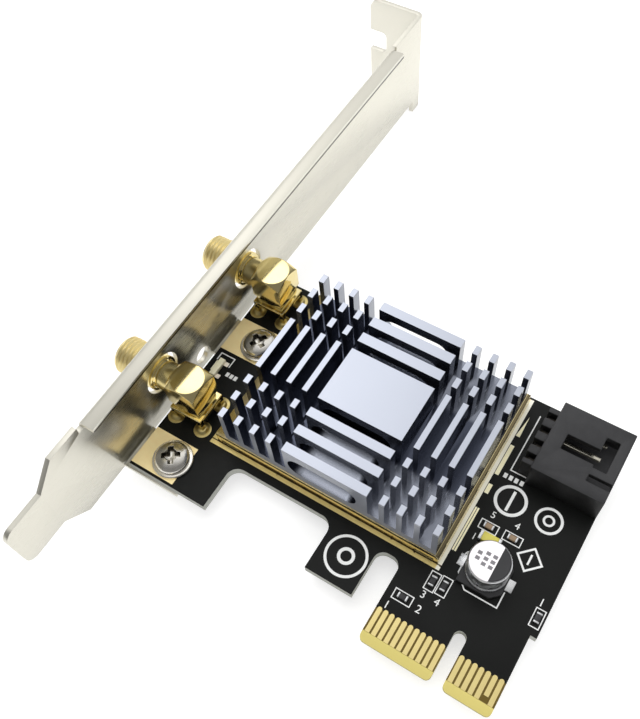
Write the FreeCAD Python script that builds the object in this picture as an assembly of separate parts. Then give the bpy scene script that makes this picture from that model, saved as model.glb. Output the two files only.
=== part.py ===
import FreeCAD, Part
import math
import os

# Wireless network card for a PCI Express x1 slot, lengths in mm.
# X runs along the card edge, away from the slot bracket, from the key notch.
# Y runs away from the connector, from the tip of the card edge.
# Z is 0 on the component side of the board and points away from it.

V = FreeCAD.Vector

# circuit board
BOARD_T = 1.6
BOARD_LEFT = -57.0
BOARD_RIGHT = 9.1
BOARD_TOP = 46.8
FOOT_Y = 4.7
TONGUE_LEFT = -12.15
TONGUE_RIGHT = 8.15
SHOULDER_Y = 12.6
CUT_LEFT = -42.45
CUT_RIGHT = -24.0
CUT_TOP = 12.8
CUT_R = 2.0
SLIT_LEFT = -16.05
SLIT_TOP = 12.7
SLIT_R = 1.6
KEY_W = 1.9
KEY_DEPTH = 8.25
TONGUE_R = 0.8
BEVEL_LEN = 1.3
BEVEL_ANGLE = 20.0

# gold contacts of the card edge
FINGER_PITCH = 1.0
FINGER_W = 0.7
FINGER_TOP = 5.4
FINGER_LOW = 1.4
SHORT_LOW = 2.3
FINGERS_LEFT = 11
FINGERS_RIGHT = 7
FIRST_FINGER = -11.5
FIRST_RIGHT_FINGER = 1.5
SHORT_FINGER = 6.5
PLATING_T = 0.05

# slot bracket
SHEET_T = 0.86
PLATE_IN = -58.5
PLATE_LOW = -2.46
PLATE_W = 18.42
BRACKET_H = 118.8
TIP_Y = -15.9
TONGUE_W = 10.19
TONGUE_ROOT_Y = -8.3
TIP_R = 1.8
FLANGE_W = 21.0
EAR_L = 2.2
FLANGE_D = 11.43
FLANGE_R = 2.0
FLANGE_NOTCH_W = 4.42
FLANGE_NOTCH_D = 3.6
FLANGE_NOTCH_Z = 7.0
NOTCH_R = 1.0
LIP_D = 3.0
LIP_LOW = 2.4
LIP_FROM_TOP = 11.7
RELIEF_W = 1.0
BEND_R = 0.45
TAB_END = -48.0
TAB_W = 7.7
TAB_SHIFT = -0.35
TAB_FIT = 0.03
JACK_HOLE_R = 3.65
LED_HOLE_R = 1.6
LED_HOLE_SHIFT = 0.7
LED_HOLE_Z = 0.4

# bracket screws
SCREW_X = -51.2
SCREW_LOWER_Y = 8.6
SCREW_UPPER_Y = 33.0
SCREW_R = 1.5
SCREW_CLEAR = 0.15
WASHER_R = 3.3
WASHER_T = 0.5
HEAD_R = 2.8
HEAD_H = 1.65
SCREW_END = -4.3
CROSS_W = 0.7
CROSS_L = 3.2
CROSS_DEPTH = 1.0
SCREW_PAD_X = 8.15
SCREW_PAD_Y = 6.9
SCREW_PAD_SHIFT = -1.7
PAD_HOLE_R = 2.0

# antenna jacks
JACK_X = -52.95
JACK_LOWER_Y = 18.05
JACK_UPPER_Y = 41.65
JACK_Z = 7.0
JACK_TIP = -66.0
THREAD_R = 3.175
THREAD_END = -59.7
COLLAR_R = 3.0
COLLAR_END = -58.3
NECK_R = 2.4
ELBOW_HALF = 2.8
ELBOW_LOW = 4.0
ELBOW_TOP = 10.0
FLAT_R = 2.7
CORNER_DROP = 1.2
STUB_HALF = 2.4
BASE_HALF = 3.0
BASE_LOW = 2.0
BASE_T = 1.1
LEG_REACH = 2.6
LEG_W = 0.8
LEG_END = -BOARD_T
JACK_BORE_R = 2.3
JACK_BORE_DEPTH = 1.9
PLUG_LEN = 3.0
CORE_W = 2.6
PIN_OUT = 1.1
CENTRE_W = 0.9

# solder on the back face
SOLDER_H = 0.5
SOLDER_SPREAD = 0.75

# shield can, parts under it and the gold frame on the board
CAN_LEFT = -47.0
CAN_RIGHT = -7.6
CAN_FRONT = 15.0
CAN_BACK = 45.6
CAN_H = 2.7
CAN_T = 0.25
CAN_SLOT_L = 3.0
CAN_SLOT_H = 0.7
CAN_SLOT_IN = 0.9
RING_LEFT = -48.1
RING_RIGHT = -7.0
RING_FRONT = 14.2
RING_BACK = 46.4
RING_IN = 1.6
CHIP_W = 12.0
CHIP_H = 0.9
CHIP_X = -27.3
CHIP_Y = 31.0
AMP_W = 3.0
AMP_H = 0.75
AMP_X = -39.5
AMP_LOWER_Y = 22.0
AMP_UPPER_Y = 38.0
CRYSTAL_L = 3.2
CRYSTAL_W = 2.5
CRYSTAL_H = 0.8
CRYSTAL_X = -14.5
CRYSTAL_Y = 24.0
PAD_T = 0.2
PAD_MARGIN = 1.5

# side strips next to the can
STRIP_GAP = 0.1
STRIP_W = 0.66
NARROW_W = 0.28
WEDGE_LOW = 39.4
WEDGE_L = 4.0
UPPER_STRIP_LOW = 31.95
UPPER_STRIP_L = 5.65
SHORT_STRIP_LOW = 28.4
SHORT_STRIP_L = 1.7
LOWER_STRIP_LOW = 18.0
LOWER_STRIP_L = 7.7

# heatsink
SINK_LEFT = -44.95
SINK_FRONT = 15.1
SINK_W = 36.8
SINK_L = 29.8
SINK_TOP = 10.7
SINK_BASE_T = 1.5
RIDGE_W = 1.4
RIDGE_GAP = 1.95
RIDGES = 3
FIN_W = 0.95
FIN_GAP = 1.87
FINS = 4
SLOT_WALL_LEFT = 0.65
SLOT_WALL_RIGHT = 1.85
SLOT_ROOF = 1.9
BACK_BEVEL_H = 1.0
BACK_BEVEL_L = 0.7

# data header
HEAD_LEFT = -2.3
HEADER_Y = 39.1
HEADER_W = 12.5
HEADER_H = 5.8
HEADER_WALL = 1.0
HEADER_BACK_T = 2.5
COMB_LEN = 1.7
COMB_H = 4.2
COMB_W = 10.4
COMB_GAP = 1.1
PIN_PITCH = 2.54
PINS = 4
PIN_W = 0.64
PIN_Z = 2.9
PIN_END = 6.0
PIN_DROP_X = -3.35
WINDOW_SLOT_L = 5.2
WINDOW_SLOT_W = 2.7
WINDOW_WIDE_L = 2.1
WINDOW_WIDE_W = 5.5
LATCH_L = 3.5
LATCH_W = 1.2

# capacitor
CAP_X = -1.0
CAP_Y = 17.35
CAP_R = 3.15
CAP_TOP = 5.6
CAP_BASE_W = 6.6
CAP_BASE_LOW = 0.2
CAP_BASE_H = 0.75
CAP_BASE_CUT = 1.3
CAP_EDGE = 0.35
CAP_LEAD_W = 1.9
CAP_LEAD_OUT = 4.35
CAP_LEAD_IN = 1.6

# chip parts
CHIP_PART_L = 1.6
CHIP_PART_W = 0.85
CHIP_PART_H = 0.5
CHIP_CAP_L = 0.32
FUSE_X = -2.75
FUSE_Y = 22.0
FUSE_L = 3.4
FUSE_W = 1.5
FUSE_H = 0.75
FUSE_CAP_L = 0.5
LED_X = -54.9
LED_Y = 25.9
LED_L = 3.4
LED_W = 1.0
LED_H = 0.8
LED_LENS_L = 2.0
LED_LENS_OUT = 0.25
LED_TERMINAL_W = 0.8
LED_TERMINAL_L = 0.75
LED_TERMINAL_T = 0.15

os.makedirs("parts", exist_ok=True)


def save(shape, node):
    shape.exportStep("parts/" + node + ".step")


def box(x0, x1, y0, y1, z0, z1):
    return Part.makeBox(x1 - x0, y1 - y0, z1 - z0, V(x0, y0, z0))


def rod(r, start, axis, length):
    return Part.makeCylinder(r, length, start, axis)


def tangent_corner(before, corner, after, r):
    # arc of radius r that rounds one corner: start, middle, end
    a = before.sub(corner).normalize()
    b = after.sub(corner).normalize()
    half = a.getAngle(b) / 2.0
    reach = r / math.tan(half)
    centre = corner.add(a.add(b).normalize().multiply(r / math.sin(half)))
    middle = centre.add(corner.sub(centre).normalize().multiply(r))
    start = corner.add(V(a).multiply(reach))
    end = corner.add(V(b).multiply(reach))
    return start, middle, end


def outline(points):
    # closed face from (point, corner radius) pairs
    count = len(points)
    edges = []
    ends = []
    for i in range(count):
        corner, r = points[i]
        before = points[i - 1][0]
        after = points[(i + 1) % count][0]
        if r > 0:
            ends.append(tangent_corner(before, corner, after, r))
        else:
            ends.append((corner, None, corner))
    for i in range(count):
        start, middle, end = ends[i]
        if middle is not None:
            edges.append(Part.Arc(start, middle, end).toShape())
        following = ends[(i + 1) % count][0]
        if end.sub(following).Length > 1e-6:
            edges.append(Part.makeLine(end, following))
    return Part.Face(Part.Wire(edges))


def flat(points, z0, z1):
    # (x, y, corner radius) outline raised from z0 to z1
    face = outline([(V(x, y, z0), r) for x, y, r in points])
    return face.extrude(V(0, 0, z1 - z0))


def facets(x, y, low_r, high_r, z0, z1):
    # eight-sided prism or frustum, for what washers and solder hide
    rings = []
    for r, z in ((low_r, z0), (high_r, z1)):
        turns = [math.radians(22.5 + 45 * i) for i in range(8)]
        rings.append([V(x + r * math.cos(a), y + r * math.sin(a), z) for a in turns])
    low, high = rings
    loops = [low, high]
    for i in range(8):
        loops.append([low[i - 1], low[i], high[i], high[i - 1]])
    faces = [Part.Face(Part.makePolygon(loop + [loop[0]])) for loop in loops]
    return Part.makeSolid(Part.makeShell(faces))


def rectangle(x0, x1, y0, y1, r):
    return [(x0, y0, r), (x1, y0, r), (x1, y1, r), (x0, y1, r)]


def join(shapes):
    solid = shapes[0]
    for other in shapes[1:]:
        solid = solid.fuse(other)
    return solid.removeSplitter()


SCREW_YS = (SCREW_LOWER_Y, SCREW_UPPER_Y)
JACK_YS = (JACK_LOWER_Y, JACK_UPPER_Y)
PIN_YS = [HEADER_Y + (i - (PINS - 1) / 2.0) * PIN_PITCH for i in range(PINS)]


def leg_places(y):
    corners = []
    for side in (-1, 1):
        for end in (-1, 1):
            corners.append((JACK_X + side * LEG_REACH, y + end * LEG_REACH))
    return corners


def soldered_legs():
    # (x, y, width) of every square leg that passes through the board
    legs = [(PIN_DROP_X, y, PIN_W) for y in PIN_YS]
    for jack_y in JACK_YS:
        legs.append((JACK_X, jack_y, CENTRE_W))
        legs += [(x, y, LEG_W) for x, y in leg_places(jack_y)]
    return legs


def post(x, y, width, z0, z1):
    half = width / 2.0
    return box(x - half, x + half, y - half, y + half, z0, z1)


def circuit_board():
    body = flat([
        (TONGUE_LEFT, 0, TONGUE_R),
        (TONGUE_RIGHT, 0, TONGUE_R),
        (TONGUE_RIGHT, SHOULDER_Y, 0),
        (BOARD_RIGHT, SHOULDER_Y, 0),
        (BOARD_RIGHT, BOARD_TOP, 0),
        (BOARD_LEFT, BOARD_TOP, 0),
        (BOARD_LEFT, FOOT_Y, 0),
        (CUT_LEFT, FOOT_Y, 0),
        (CUT_LEFT, CUT_TOP, CUT_R),
        (CUT_RIGHT, CUT_TOP, CUT_R),
        (CUT_RIGHT, FOOT_Y, 0),
        (SLIT_LEFT, FOOT_Y, 0),
        (SLIT_LEFT, SLIT_TOP, SLIT_R),
        (TONGUE_LEFT, SLIT_TOP, SLIT_R)], -BOARD_T, 0)
    half = KEY_W / 2.0
    key = flat([
        (-half, -1.0, 0), (half, -1.0, 0),
        (half, KEY_DEPTH, half * 0.999), (-half, KEY_DEPTH, half * 0.999)], -BOARD_T - 1, 1)
    body = body.cut(key)
    drop = BEVEL_LEN * math.tan(math.radians(BEVEL_ANGLE))
    for top, sign in ((0, -1), (-BOARD_T, 1)):
        low = top + sign * drop
        wedge = Part.Face(Part.makePolygon([
            V(TONGUE_LEFT - 1, -0.01, top - sign), V(TONGUE_LEFT - 1, -0.01, low),
            V(TONGUE_LEFT - 1, BEVEL_LEN, top), V(TONGUE_LEFT - 1, BEVEL_LEN, top - sign),
            V(TONGUE_LEFT - 1, -0.01, top - sign)]))
        body = body.cut(wedge.extrude(V(TONGUE_RIGHT - TONGUE_LEFT + 2, 0, 0)))
    for y in SCREW_YS:
        hole_r = SCREW_R + SCREW_CLEAR
        body = body.cut(facets(SCREW_X, y, hole_r, hole_r, -BOARD_T - 1, 1))
    # the solder fills the hole round each leg, so the leg fits it closely
    for x, y, width in soldered_legs():
        body = body.cut(post(x, y, width, -BOARD_T - 1, 1))
    return body


def edge_contacts(z0):
    xs = [FIRST_FINGER + i * FINGER_PITCH for i in range(FINGERS_LEFT)]
    xs += [FIRST_RIGHT_FINGER + i * FINGER_PITCH for i in range(FINGERS_RIGHT)]
    pads = []
    for x in xs:
        low = SHORT_LOW if abs(x - SHORT_FINGER) < FINGER_PITCH / 4 else FINGER_LOW
        pads.append(box(x - FINGER_W / 2, x + FINGER_W / 2, low, FINGER_TOP, z0, z0 + PLATING_T))
    return Part.makeCompound(pads)


PLATE_OUT = PLATE_IN - SHEET_T
PLATE_TOP = PLATE_LOW + PLATE_W
PLATE_MID = (PLATE_LOW + PLATE_TOP) / 2.0
FLANGE_TOP_Y = TIP_Y + BRACKET_H
LIP_HIGH = FLANGE_TOP_Y - LIP_FROM_TOP
OUTER_R = BEND_R + SHEET_T


def fold(corners, axis_start, axis_length, along):
    # bent sheet: outline of the cut across the fold, drawn out along it
    face = outline([(V(*p), r) for p, r in corners])
    face.translate(V(*[axis_start * a for a in along]))
    return face.extrude(V(*[axis_length * a for a in along]))


def side_plate():
    half = TONGUE_W / 2.0
    slope = PLATE_W / 2.0 - half
    shoulder = TONGUE_ROOT_Y + slope
    far = FLANGE_TOP_Y - OUTER_R
    low_relief = LIP_LOW - RELIEF_W
    high_relief = LIP_HIGH + RELIEF_W
    bend = PLATE_TOP - OUTER_R
    ear_low = PLATE_TOP - FLANGE_W
    points = [
        (TIP_Y, PLATE_MID - half, TIP_R), (TONGUE_ROOT_Y, PLATE_MID - half, 0),
        (shoulder, PLATE_LOW, 0), (far - EAR_L, PLATE_LOW, 0), (far - EAR_L, ear_low, 0),
        (far, ear_low, 0), (far, PLATE_TOP, 0),
        (high_relief, PLATE_TOP, 0), (high_relief, bend, 0), (low_relief, bend, 0),
        (low_relief, PLATE_TOP, 0), (shoulder, PLATE_TOP, 0),
        (TONGUE_ROOT_Y, PLATE_MID + half, 0), (TIP_Y, PLATE_MID + half, TIP_R)]
    face = outline([(V(PLATE_OUT, y, z), r) for y, z, r in points])
    return face.extrude(V(SHEET_T, 0, 0))


def bracket():
    sheet = side_plate()
    lip_in = PLATE_OUT + LIP_D
    bend = PLATE_TOP - OUTER_R
    lip = fold([((PLATE_OUT, 0, bend), 0), ((PLATE_OUT, 0, PLATE_TOP), OUTER_R),
                ((lip_in, 0, PLATE_TOP), 0), ((lip_in, 0, PLATE_TOP - SHEET_T), 0),
                ((PLATE_IN, 0, PLATE_TOP - SHEET_T), BEND_R), ((PLATE_IN, 0, bend), 0)],
               LIP_LOW, LIP_HIGH - LIP_LOW, (0, 1, 0))
    sheet = sheet.fuse(lip)
    # two tabs folded under the board
    tab_low = -BOARD_T - SHEET_T
    for y in SCREW_YS:
        start = y + TAB_SHIFT - TAB_W / 2.0
        cut = box(PLATE_OUT - 1, PLATE_IN + 1, start, start + TAB_W, PLATE_LOW - 1, tab_low + OUTER_R)
        sheet = sheet.cut(cut)
        tab = fold([((PLATE_IN, 0, tab_low + OUTER_R), 0), ((PLATE_IN, 0, -BOARD_T), BEND_R),
                    ((TAB_END, 0, -BOARD_T), 0), ((TAB_END, 0, tab_low), 0),
                    ((PLATE_OUT, 0, tab_low), OUTER_R), ((PLATE_OUT, 0, tab_low + OUTER_R), 0)],
                   start, TAB_W, (0, 1, 0))
        sheet = sheet.fuse(tab)
        hole_r = SCREW_R + TAB_FIT
        sheet = sheet.cut(facets(SCREW_X, y, hole_r, hole_r, tab_low - 1, -BOARD_T + 1))
    # screw flange folded outwards, wider than the plate on its lower side
    bend_y = FLANGE_TOP_Y - OUTER_R
    under = FLANGE_TOP_Y - SHEET_T
    curl = fold([((PLATE_IN, bend_y, 0), 0), ((PLATE_IN, FLANGE_TOP_Y, 0), OUTER_R),
                 ((PLATE_OUT - BEND_R, FLANGE_TOP_Y, 0), 0), ((PLATE_OUT - BEND_R, under, 0), 0),
                 ((PLATE_OUT, under, 0), BEND_R), ((PLATE_OUT, bend_y, 0), 0)],
                PLATE_TOP - FLANGE_W, FLANGE_W, (0, 0, 1))
    sheet = sheet.fuse(curl)
    far = PLATE_IN - FLANGE_D
    near = PLATE_OUT - BEND_R
    low = PLATE_TOP - FLANGE_W
    notch_low = FLANGE_NOTCH_Z - FLANGE_NOTCH_W / 2.0
    notch_high = FLANGE_NOTCH_Z + FLANGE_NOTCH_W / 2.0
    notch = [(far, notch_low, 0), (far + FLANGE_NOTCH_D, notch_low, NOTCH_R),
             (far + FLANGE_NOTCH_D, notch_high, NOTCH_R), (far, notch_high, 0)]
    points = [(near, PLATE_TOP, 0), (near, low, 0), (far, low, FLANGE_R)]
    points += notch
    points.append((far, PLATE_TOP, FLANGE_R))
    face = outline([(V(x, under, z), r) for x, z, r in points])
    sheet = sheet.fuse(face.extrude(V(0, SHEET_T, 0)))
    # clearance holes for the jacks and the indicator
    for y in JACK_YS:
        sheet = sheet.cut(rod(JACK_HOLE_R, V(PLATE_OUT - 1, y, JACK_Z), V(1, 0, 0), SHEET_T + 2))
    window = V(PLATE_OUT - 1, LED_Y + LED_HOLE_SHIFT, LED_HOLE_Z)
    sheet = sheet.cut(rod(LED_HOLE_R, window, V(1, 0, 0), SHEET_T + 2))
    return sheet.removeSplitter()


def bracket_screws():
    screws = []
    for y in SCREW_YS:
        face = PLATING_T + WASHER_T
        top = face + HEAD_H
        washer = rod(WASHER_R, V(SCREW_X, y, PLATING_T), V(0, 0, 1), WASHER_T)
        head = rod(HEAD_R, V(SCREW_X, y, face), V(0, 0, 1), HEAD_H)
        shank = facets(SCREW_X, y, SCREW_R, SCREW_R, SCREW_END, face)
        screw = join([washer, head, shank])
        for angle in (35, 125):
            arm = box(-CROSS_L / 2, CROSS_L / 2, -CROSS_W / 2, CROSS_W / 2, top - CROSS_DEPTH, top + 1)
            arm.rotate(V(0, 0, 0), V(0, 0, 1), angle)
            arm.translate(V(SCREW_X, y, 0))
            screw = screw.cut(arm)
        screws.append(screw)
    return Part.makeCompound(screws)


def screw_pads():
    pads = []
    for y in SCREW_YS:
        x = SCREW_X + SCREW_PAD_SHIFT
        pad = box(x - SCREW_PAD_X / 2, x + SCREW_PAD_X / 2, y - SCREW_PAD_Y / 2, y + SCREW_PAD_Y / 2,
                  0, PLATING_T)
        pads.append(pad.cut(facets(SCREW_X, y, PAD_HOLE_R, PAD_HOLE_R, -1, 1)))
    return Part.makeCompound(pads)


def turned(points, spot, along, out):
    # solid of revolution from (distance along the axis, radius) points
    ring = [spot + along * distance + out * r for distance, r in points]
    first = spot + along * points[0][0]
    last = spot + along * points[-1][0]
    face = Part.Face(Part.makePolygon([first] + ring + [last, first]))
    return face.revolve(spot, along, 360)


def jack_elbow(y):
    # square post turned at both ends, so each of its sides ends in an arc
    corner_r = ELBOW_HALF * math.sqrt(2)
    profile = [(ELBOW_LOW, FLAT_R), (ELBOW_LOW + CORNER_DROP, corner_r + 0.1),
               (ELBOW_TOP - CORNER_DROP, corner_r + 0.1), (ELBOW_TOP, FLAT_R)]
    envelope = turned(profile, V(JACK_X, y, 0), V(0, 0, 1), V(1, 0, 0))
    return post(JACK_X, y, ELBOW_HALF * 2, ELBOW_LOW, ELBOW_TOP).common(envelope)


def jack_body(y):
    neck = turned([(JACK_TIP, THREAD_R), (THREAD_END, THREAD_R), (THREAD_END, COLLAR_R),
                   (COLLAR_END, COLLAR_R), (COLLAR_END, NECK_R), (JACK_X - ELBOW_HALF + 0.5, NECK_R)],
                  V(0, y, JACK_Z), V(1, 0, 0), V(0, 0, 1))
    base_top = BASE_LOW + BASE_T
    stub = post(JACK_X, y, STUB_HALF * 2, base_top - 0.1, ELBOW_LOW + 0.2)
    base = post(JACK_X, y, BASE_HALF * 2, BASE_LOW, base_top)
    parts = [jack_elbow(y), neck, stub, base]
    for x, leg_y in leg_places(y):
        parts.append(post(x, leg_y, LEG_W, LEG_END, base_top - 0.1))
    body = join(parts)
    mouth = rod(JACK_BORE_R, V(JACK_TIP - 1, y, JACK_Z), V(1, 0, 0), JACK_BORE_DEPTH + 1)
    return body.cut(mouth).cut(insulator_core(y))


PLUG_FACE = JACK_TIP + JACK_BORE_DEPTH


def elbow(y, width, start, low):
    # square bar from start along the jack axis, then down to low
    half = width / 2.0
    along = box(start, JACK_X + half, y - half, y + half, JACK_Z - half, JACK_Z + half)
    return along.fuse(post(JACK_X, y, width, low, JACK_Z)).removeSplitter()


def insulator_core(y):
    plug = rod(JACK_BORE_R, V(PLUG_FACE, y, JACK_Z), V(1, 0, 0), PLUG_LEN)
    return join([plug, elbow(y, CORE_W, PLUG_FACE + PLUG_LEN / 2.0, BASE_LOW)])


def jack_insulator(y):
    return insulator_core(y).cut(elbow(y, CENTRE_W, PLUG_FACE - 1, BASE_LOW - 1))


def jack_contact(y):
    return elbow(y, CENTRE_W, PLUG_FACE - PIN_OUT, LEG_END)


def solder_joints():
    # cap of solder on the back face over each leg
    joints = []
    for x, y, width in soldered_legs():
        foot = width / 2.0 + SOLDER_SPREAD
        joints.append(facets(x, y, width / 2.0, foot, -BOARD_T - SOLDER_H, -BOARD_T))
    return Part.makeCompound(joints)


def shield_can():
    outer = box(CAN_LEFT, CAN_RIGHT, CAN_FRONT, CAN_BACK, PLATING_T, CAN_H)
    inner = box(CAN_LEFT + CAN_T, CAN_RIGHT - CAN_T, CAN_FRONT + CAN_T, CAN_BACK - CAN_T,
                PLATING_T - 1, CAN_H - CAN_T)
    can = outer.cut(inner)
    for x in (CAN_LEFT + CAN_SLOT_IN, CAN_RIGHT - CAN_SLOT_IN - CAN_SLOT_L):
        for y in (CAN_FRONT, CAN_BACK):
            can = can.cut(box(x, x + CAN_SLOT_L, y - 1, y + 1, PLATING_T, PLATING_T + CAN_SLOT_H))
    return can


def ground_ring():
    outer = box(RING_LEFT, RING_RIGHT, RING_FRONT, RING_BACK, 0, PLATING_T)
    inner = box(CAN_LEFT + RING_IN, CAN_RIGHT - RING_IN, CAN_FRONT + RING_IN, CAN_BACK - RING_IN, -1, 1)
    return outer.cut(inner)


def side_strips():
    left = RING_RIGHT + STRIP_GAP
    right = left + STRIP_W
    wedge = flat([(left, WEDGE_LOW, 0), (right, WEDGE_LOW, 0), (right - NARROW_W / 2, WEDGE_LOW + WEDGE_L, 0)],
                 0, PLATING_T)
    upper = box(left, right, UPPER_STRIP_LOW, UPPER_STRIP_LOW + UPPER_STRIP_L, 0, PLATING_T)
    short = box(left, right, SHORT_STRIP_LOW, SHORT_STRIP_LOW + SHORT_STRIP_L, 0, PLATING_T)
    strips = [wedge, upper, short]
    for x in (left, right - NARROW_W):
        strips.append(box(x, x + NARROW_W, LOWER_STRIP_LOW, LOWER_STRIP_LOW + LOWER_STRIP_L, 0, PLATING_T))
    return Part.makeCompound(strips)


def thermal_pad():
    right = SINK_LEFT + SINK_W
    back = SINK_FRONT + SINK_L
    return box(SINK_LEFT + PAD_MARGIN, right - PAD_MARGIN, SINK_FRONT + 0.3, back - 0.3,
               CAN_H, CAN_H + PAD_T)


def heatsink():
    low = CAN_H + PAD_T
    floor = low + SINK_BASE_T
    right = SINK_LEFT + SINK_W
    back = SINK_FRONT + SINK_L
    block = box(SINK_LEFT, right, SINK_FRONT, back, low, SINK_TOP)
    upper = [e for e in block.Edges if e.BoundBox.YMin > back - 0.01 and e.BoundBox.ZMin > SINK_TOP - 0.01]
    block = block.makeChamfer(BACK_BEVEL_H, BACK_BEVEL_L, upper)
    cuts = []
    for i in range(FINS):
        x = SINK_LEFT + FIN_W + i * (FIN_W + FIN_GAP)
        cuts.append(box(x, x + FIN_GAP, SINK_FRONT - 1, back + 1, floor, SINK_TOP + 1))
        x = right - FIN_W - i * (FIN_W + FIN_GAP)
        cuts.append(box(x - FIN_GAP, x, SINK_FRONT - 1, back + 1, floor, SINK_TOP + 1))
    for i in range(RIDGES):
        y = SINK_FRONT + RIDGE_W + i * (RIDGE_W + RIDGE_GAP)
        cuts.append(box(SINK_LEFT - 1, right + 1, y, y + RIDGE_GAP, floor, SINK_TOP + 1))
        y = back - RIDGE_W - i * (RIDGE_W + RIDGE_GAP)
        cuts.append(box(SINK_LEFT - 1, right + 1, y - RIDGE_GAP, y, floor, SINK_TOP + 1))
    for cut in cuts:
        block = block.cut(cut)
    # long round-ended slot milled straight through the ridges and the centre block
    shoulder = FINS * (FIN_W + FIN_GAP)
    left = SINK_LEFT + shoulder + SLOT_WALL_LEFT
    end = right - shoulder - SLOT_WALL_RIGHT
    roof = SINK_TOP - SLOT_ROOF
    r = (roof - floor) / 2.0 * 0.999
    slot = outline([(V(x, SINK_FRONT - 1, z), r)
                    for x, z in ((left, floor), (end, floor), (end, roof), (left, roof))])
    return block.cut(slot.extrude(V(0, SINK_L + 2, 0)))


def data_header_housing():
    low = HEADER_Y - HEADER_W / 2
    high = HEADER_Y + HEADER_W / 2
    cavity = HEAD_LEFT + HEADER_BACK_T
    body = box(HEAD_LEFT, BOARD_RIGHT, low, high, 0, HEADER_H)
    body = body.cut(box(cavity, BOARD_RIGHT + 1, low + HEADER_WALL, high - HEADER_WALL,
                        HEADER_WALL, HEADER_H - HEADER_WALL))
    comb = box(HEAD_LEFT - COMB_LEN, HEAD_LEFT, HEADER_Y - COMB_W / 2, HEADER_Y + COMB_W / 2,
               0, COMB_H)
    for y in PIN_YS:
        comb = comb.cut(box(HEAD_LEFT - COMB_LEN - 1, HEAD_LEFT, y - COMB_GAP / 2, y + COMB_GAP / 2,
                            -1, COMB_H + 1))
    body = body.fuse(comb)
    # window and latch cut-out in the upper wall
    slot_y = HEADER_Y + 0.1
    wide_x = cavity + WINDOW_SLOT_L
    window = flat(rectangle(cavity, wide_x + 0.1, slot_y - WINDOW_SLOT_W / 2, slot_y + WINDOW_SLOT_W / 2, 0),
                  HEADER_WALL * 2, HEADER_H + 1)
    wide = flat(rectangle(wide_x, wide_x + WINDOW_WIDE_L, slot_y - WINDOW_SLOT_W / 2 - 0.5,
                          slot_y - WINDOW_SLOT_W / 2 - 0.5 + WINDOW_WIDE_W, 0),
                HEADER_WALL * 2, HEADER_H + 1)
    latch = box(wide_x, wide_x + LATCH_L, low + 2.1, low + 2.1 + LATCH_W, HEADER_H - HEADER_WALL - 1,
                HEADER_H + 1)
    body = body.cut(window).cut(wide).cut(latch)
    half = PIN_W / 2
    for y in PIN_YS:
        body = body.cut(box(HEAD_LEFT - 1, cavity + 1, y - half, y + half, PIN_Z - half, PIN_Z + half))
    return body.removeSplitter()


def data_header_pins():
    half = PIN_W / 2
    pins = []
    for y in PIN_YS:
        face = outline([
            (V(PIN_DROP_X - half, y - half, -BOARD_T), 0), (V(PIN_DROP_X + half, y - half, -BOARD_T), 0),
            (V(PIN_DROP_X + half, y - half, PIN_Z - half), 0), (V(PIN_END, y - half, PIN_Z - half), 0),
            (V(PIN_END, y - half, PIN_Z + half), 0),
            (V(PIN_DROP_X, y - half, PIN_Z + half), 0), (V(PIN_DROP_X - half, y - half, PIN_Z), 0)])
        pins.append(face.extrude(V(0, PIN_W, 0)))
    return Part.makeCompound(pins)


def capacitor_can():
    low = CAP_BASE_LOW + CAP_BASE_H
    steps = [(0, low), (CAP_R, low), (CAP_R, CAP_TOP - CAP_EDGE), (CAP_R - CAP_EDGE, CAP_TOP), (0, CAP_TOP)]
    corners = [V(r, 0, z) for r, z in steps]
    can = Part.Face(Part.makePolygon(corners + [corners[0]])).revolve(V(0, 0, 0), V(0, 0, 1), 360)
    can.translate(V(CAP_X, CAP_Y, 0))
    return can


def capacitor_base():
    half = CAP_BASE_W / 2
    inset = half - CAP_BASE_CUT
    points = [(-half, -half, 0), (inset, -half, 0), (half, -inset, 0), (half, inset, 0),
              (inset, half, 0), (-half, half, 0)]
    return flat([(CAP_X + x, CAP_Y + y, r) for x, y, r in points], CAP_BASE_LOW, CAP_BASE_LOW + CAP_BASE_H)


def capacitor_terminals():
    half = CAP_LEAD_W / 2
    blades = []
    for side in (-1, 1):
        ends = sorted((CAP_X + side * CAP_LEAD_IN, CAP_X + side * CAP_LEAD_OUT))
        blades.append(box(ends[0], ends[1], CAP_Y - half, CAP_Y + half, 0, CAP_BASE_LOW))
    return Part.makeCompound(blades)


RESISTOR_PLACES = ((-9.55, 8.15, 0), (-7.0, 12.35, 90), (-5.25, 12.5, 90), (8.0, 15.2, 90))
CHIP_CAPACITOR_PLACES = ((-3.8, 23.8, 0), (0.0, 23.9, 0))


def placed(shape, x, y, angle):
    shape.rotate(V(0, 0, 0), V(0, 0, 1), angle)
    shape.translate(V(x, y, 0))
    return shape


def chip_bodies(places):
    inner = CHIP_PART_L / 2 - CHIP_CAP_L
    half = CHIP_PART_W / 2
    return Part.makeCompound([
        placed(box(-inner, inner, -half, half, 0.05, CHIP_PART_H), x, y, angle)
        for x, y, angle in places])


def chip_end_caps():
    half = CHIP_PART_W / 2
    reach = CHIP_PART_L / 2
    caps = []
    for x, y, angle in RESISTOR_PLACES + CHIP_CAPACITOR_PLACES:
        for side in (-1, 1):
            ends = sorted((side * reach, side * (reach - CHIP_CAP_L)))
            caps.append(placed(box(ends[0], ends[1], -half, half, 0, CHIP_PART_H), x, y, angle))
    for side in (-1, 1):
        ends = sorted((side * FUSE_L / 2, side * (FUSE_L / 2 - FUSE_CAP_L)))
        caps.append(placed(box(ends[0], ends[1], -FUSE_W / 2, FUSE_W / 2, 0, FUSE_H), FUSE_X, FUSE_Y, 0))
    return Part.makeCompound(caps)


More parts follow.
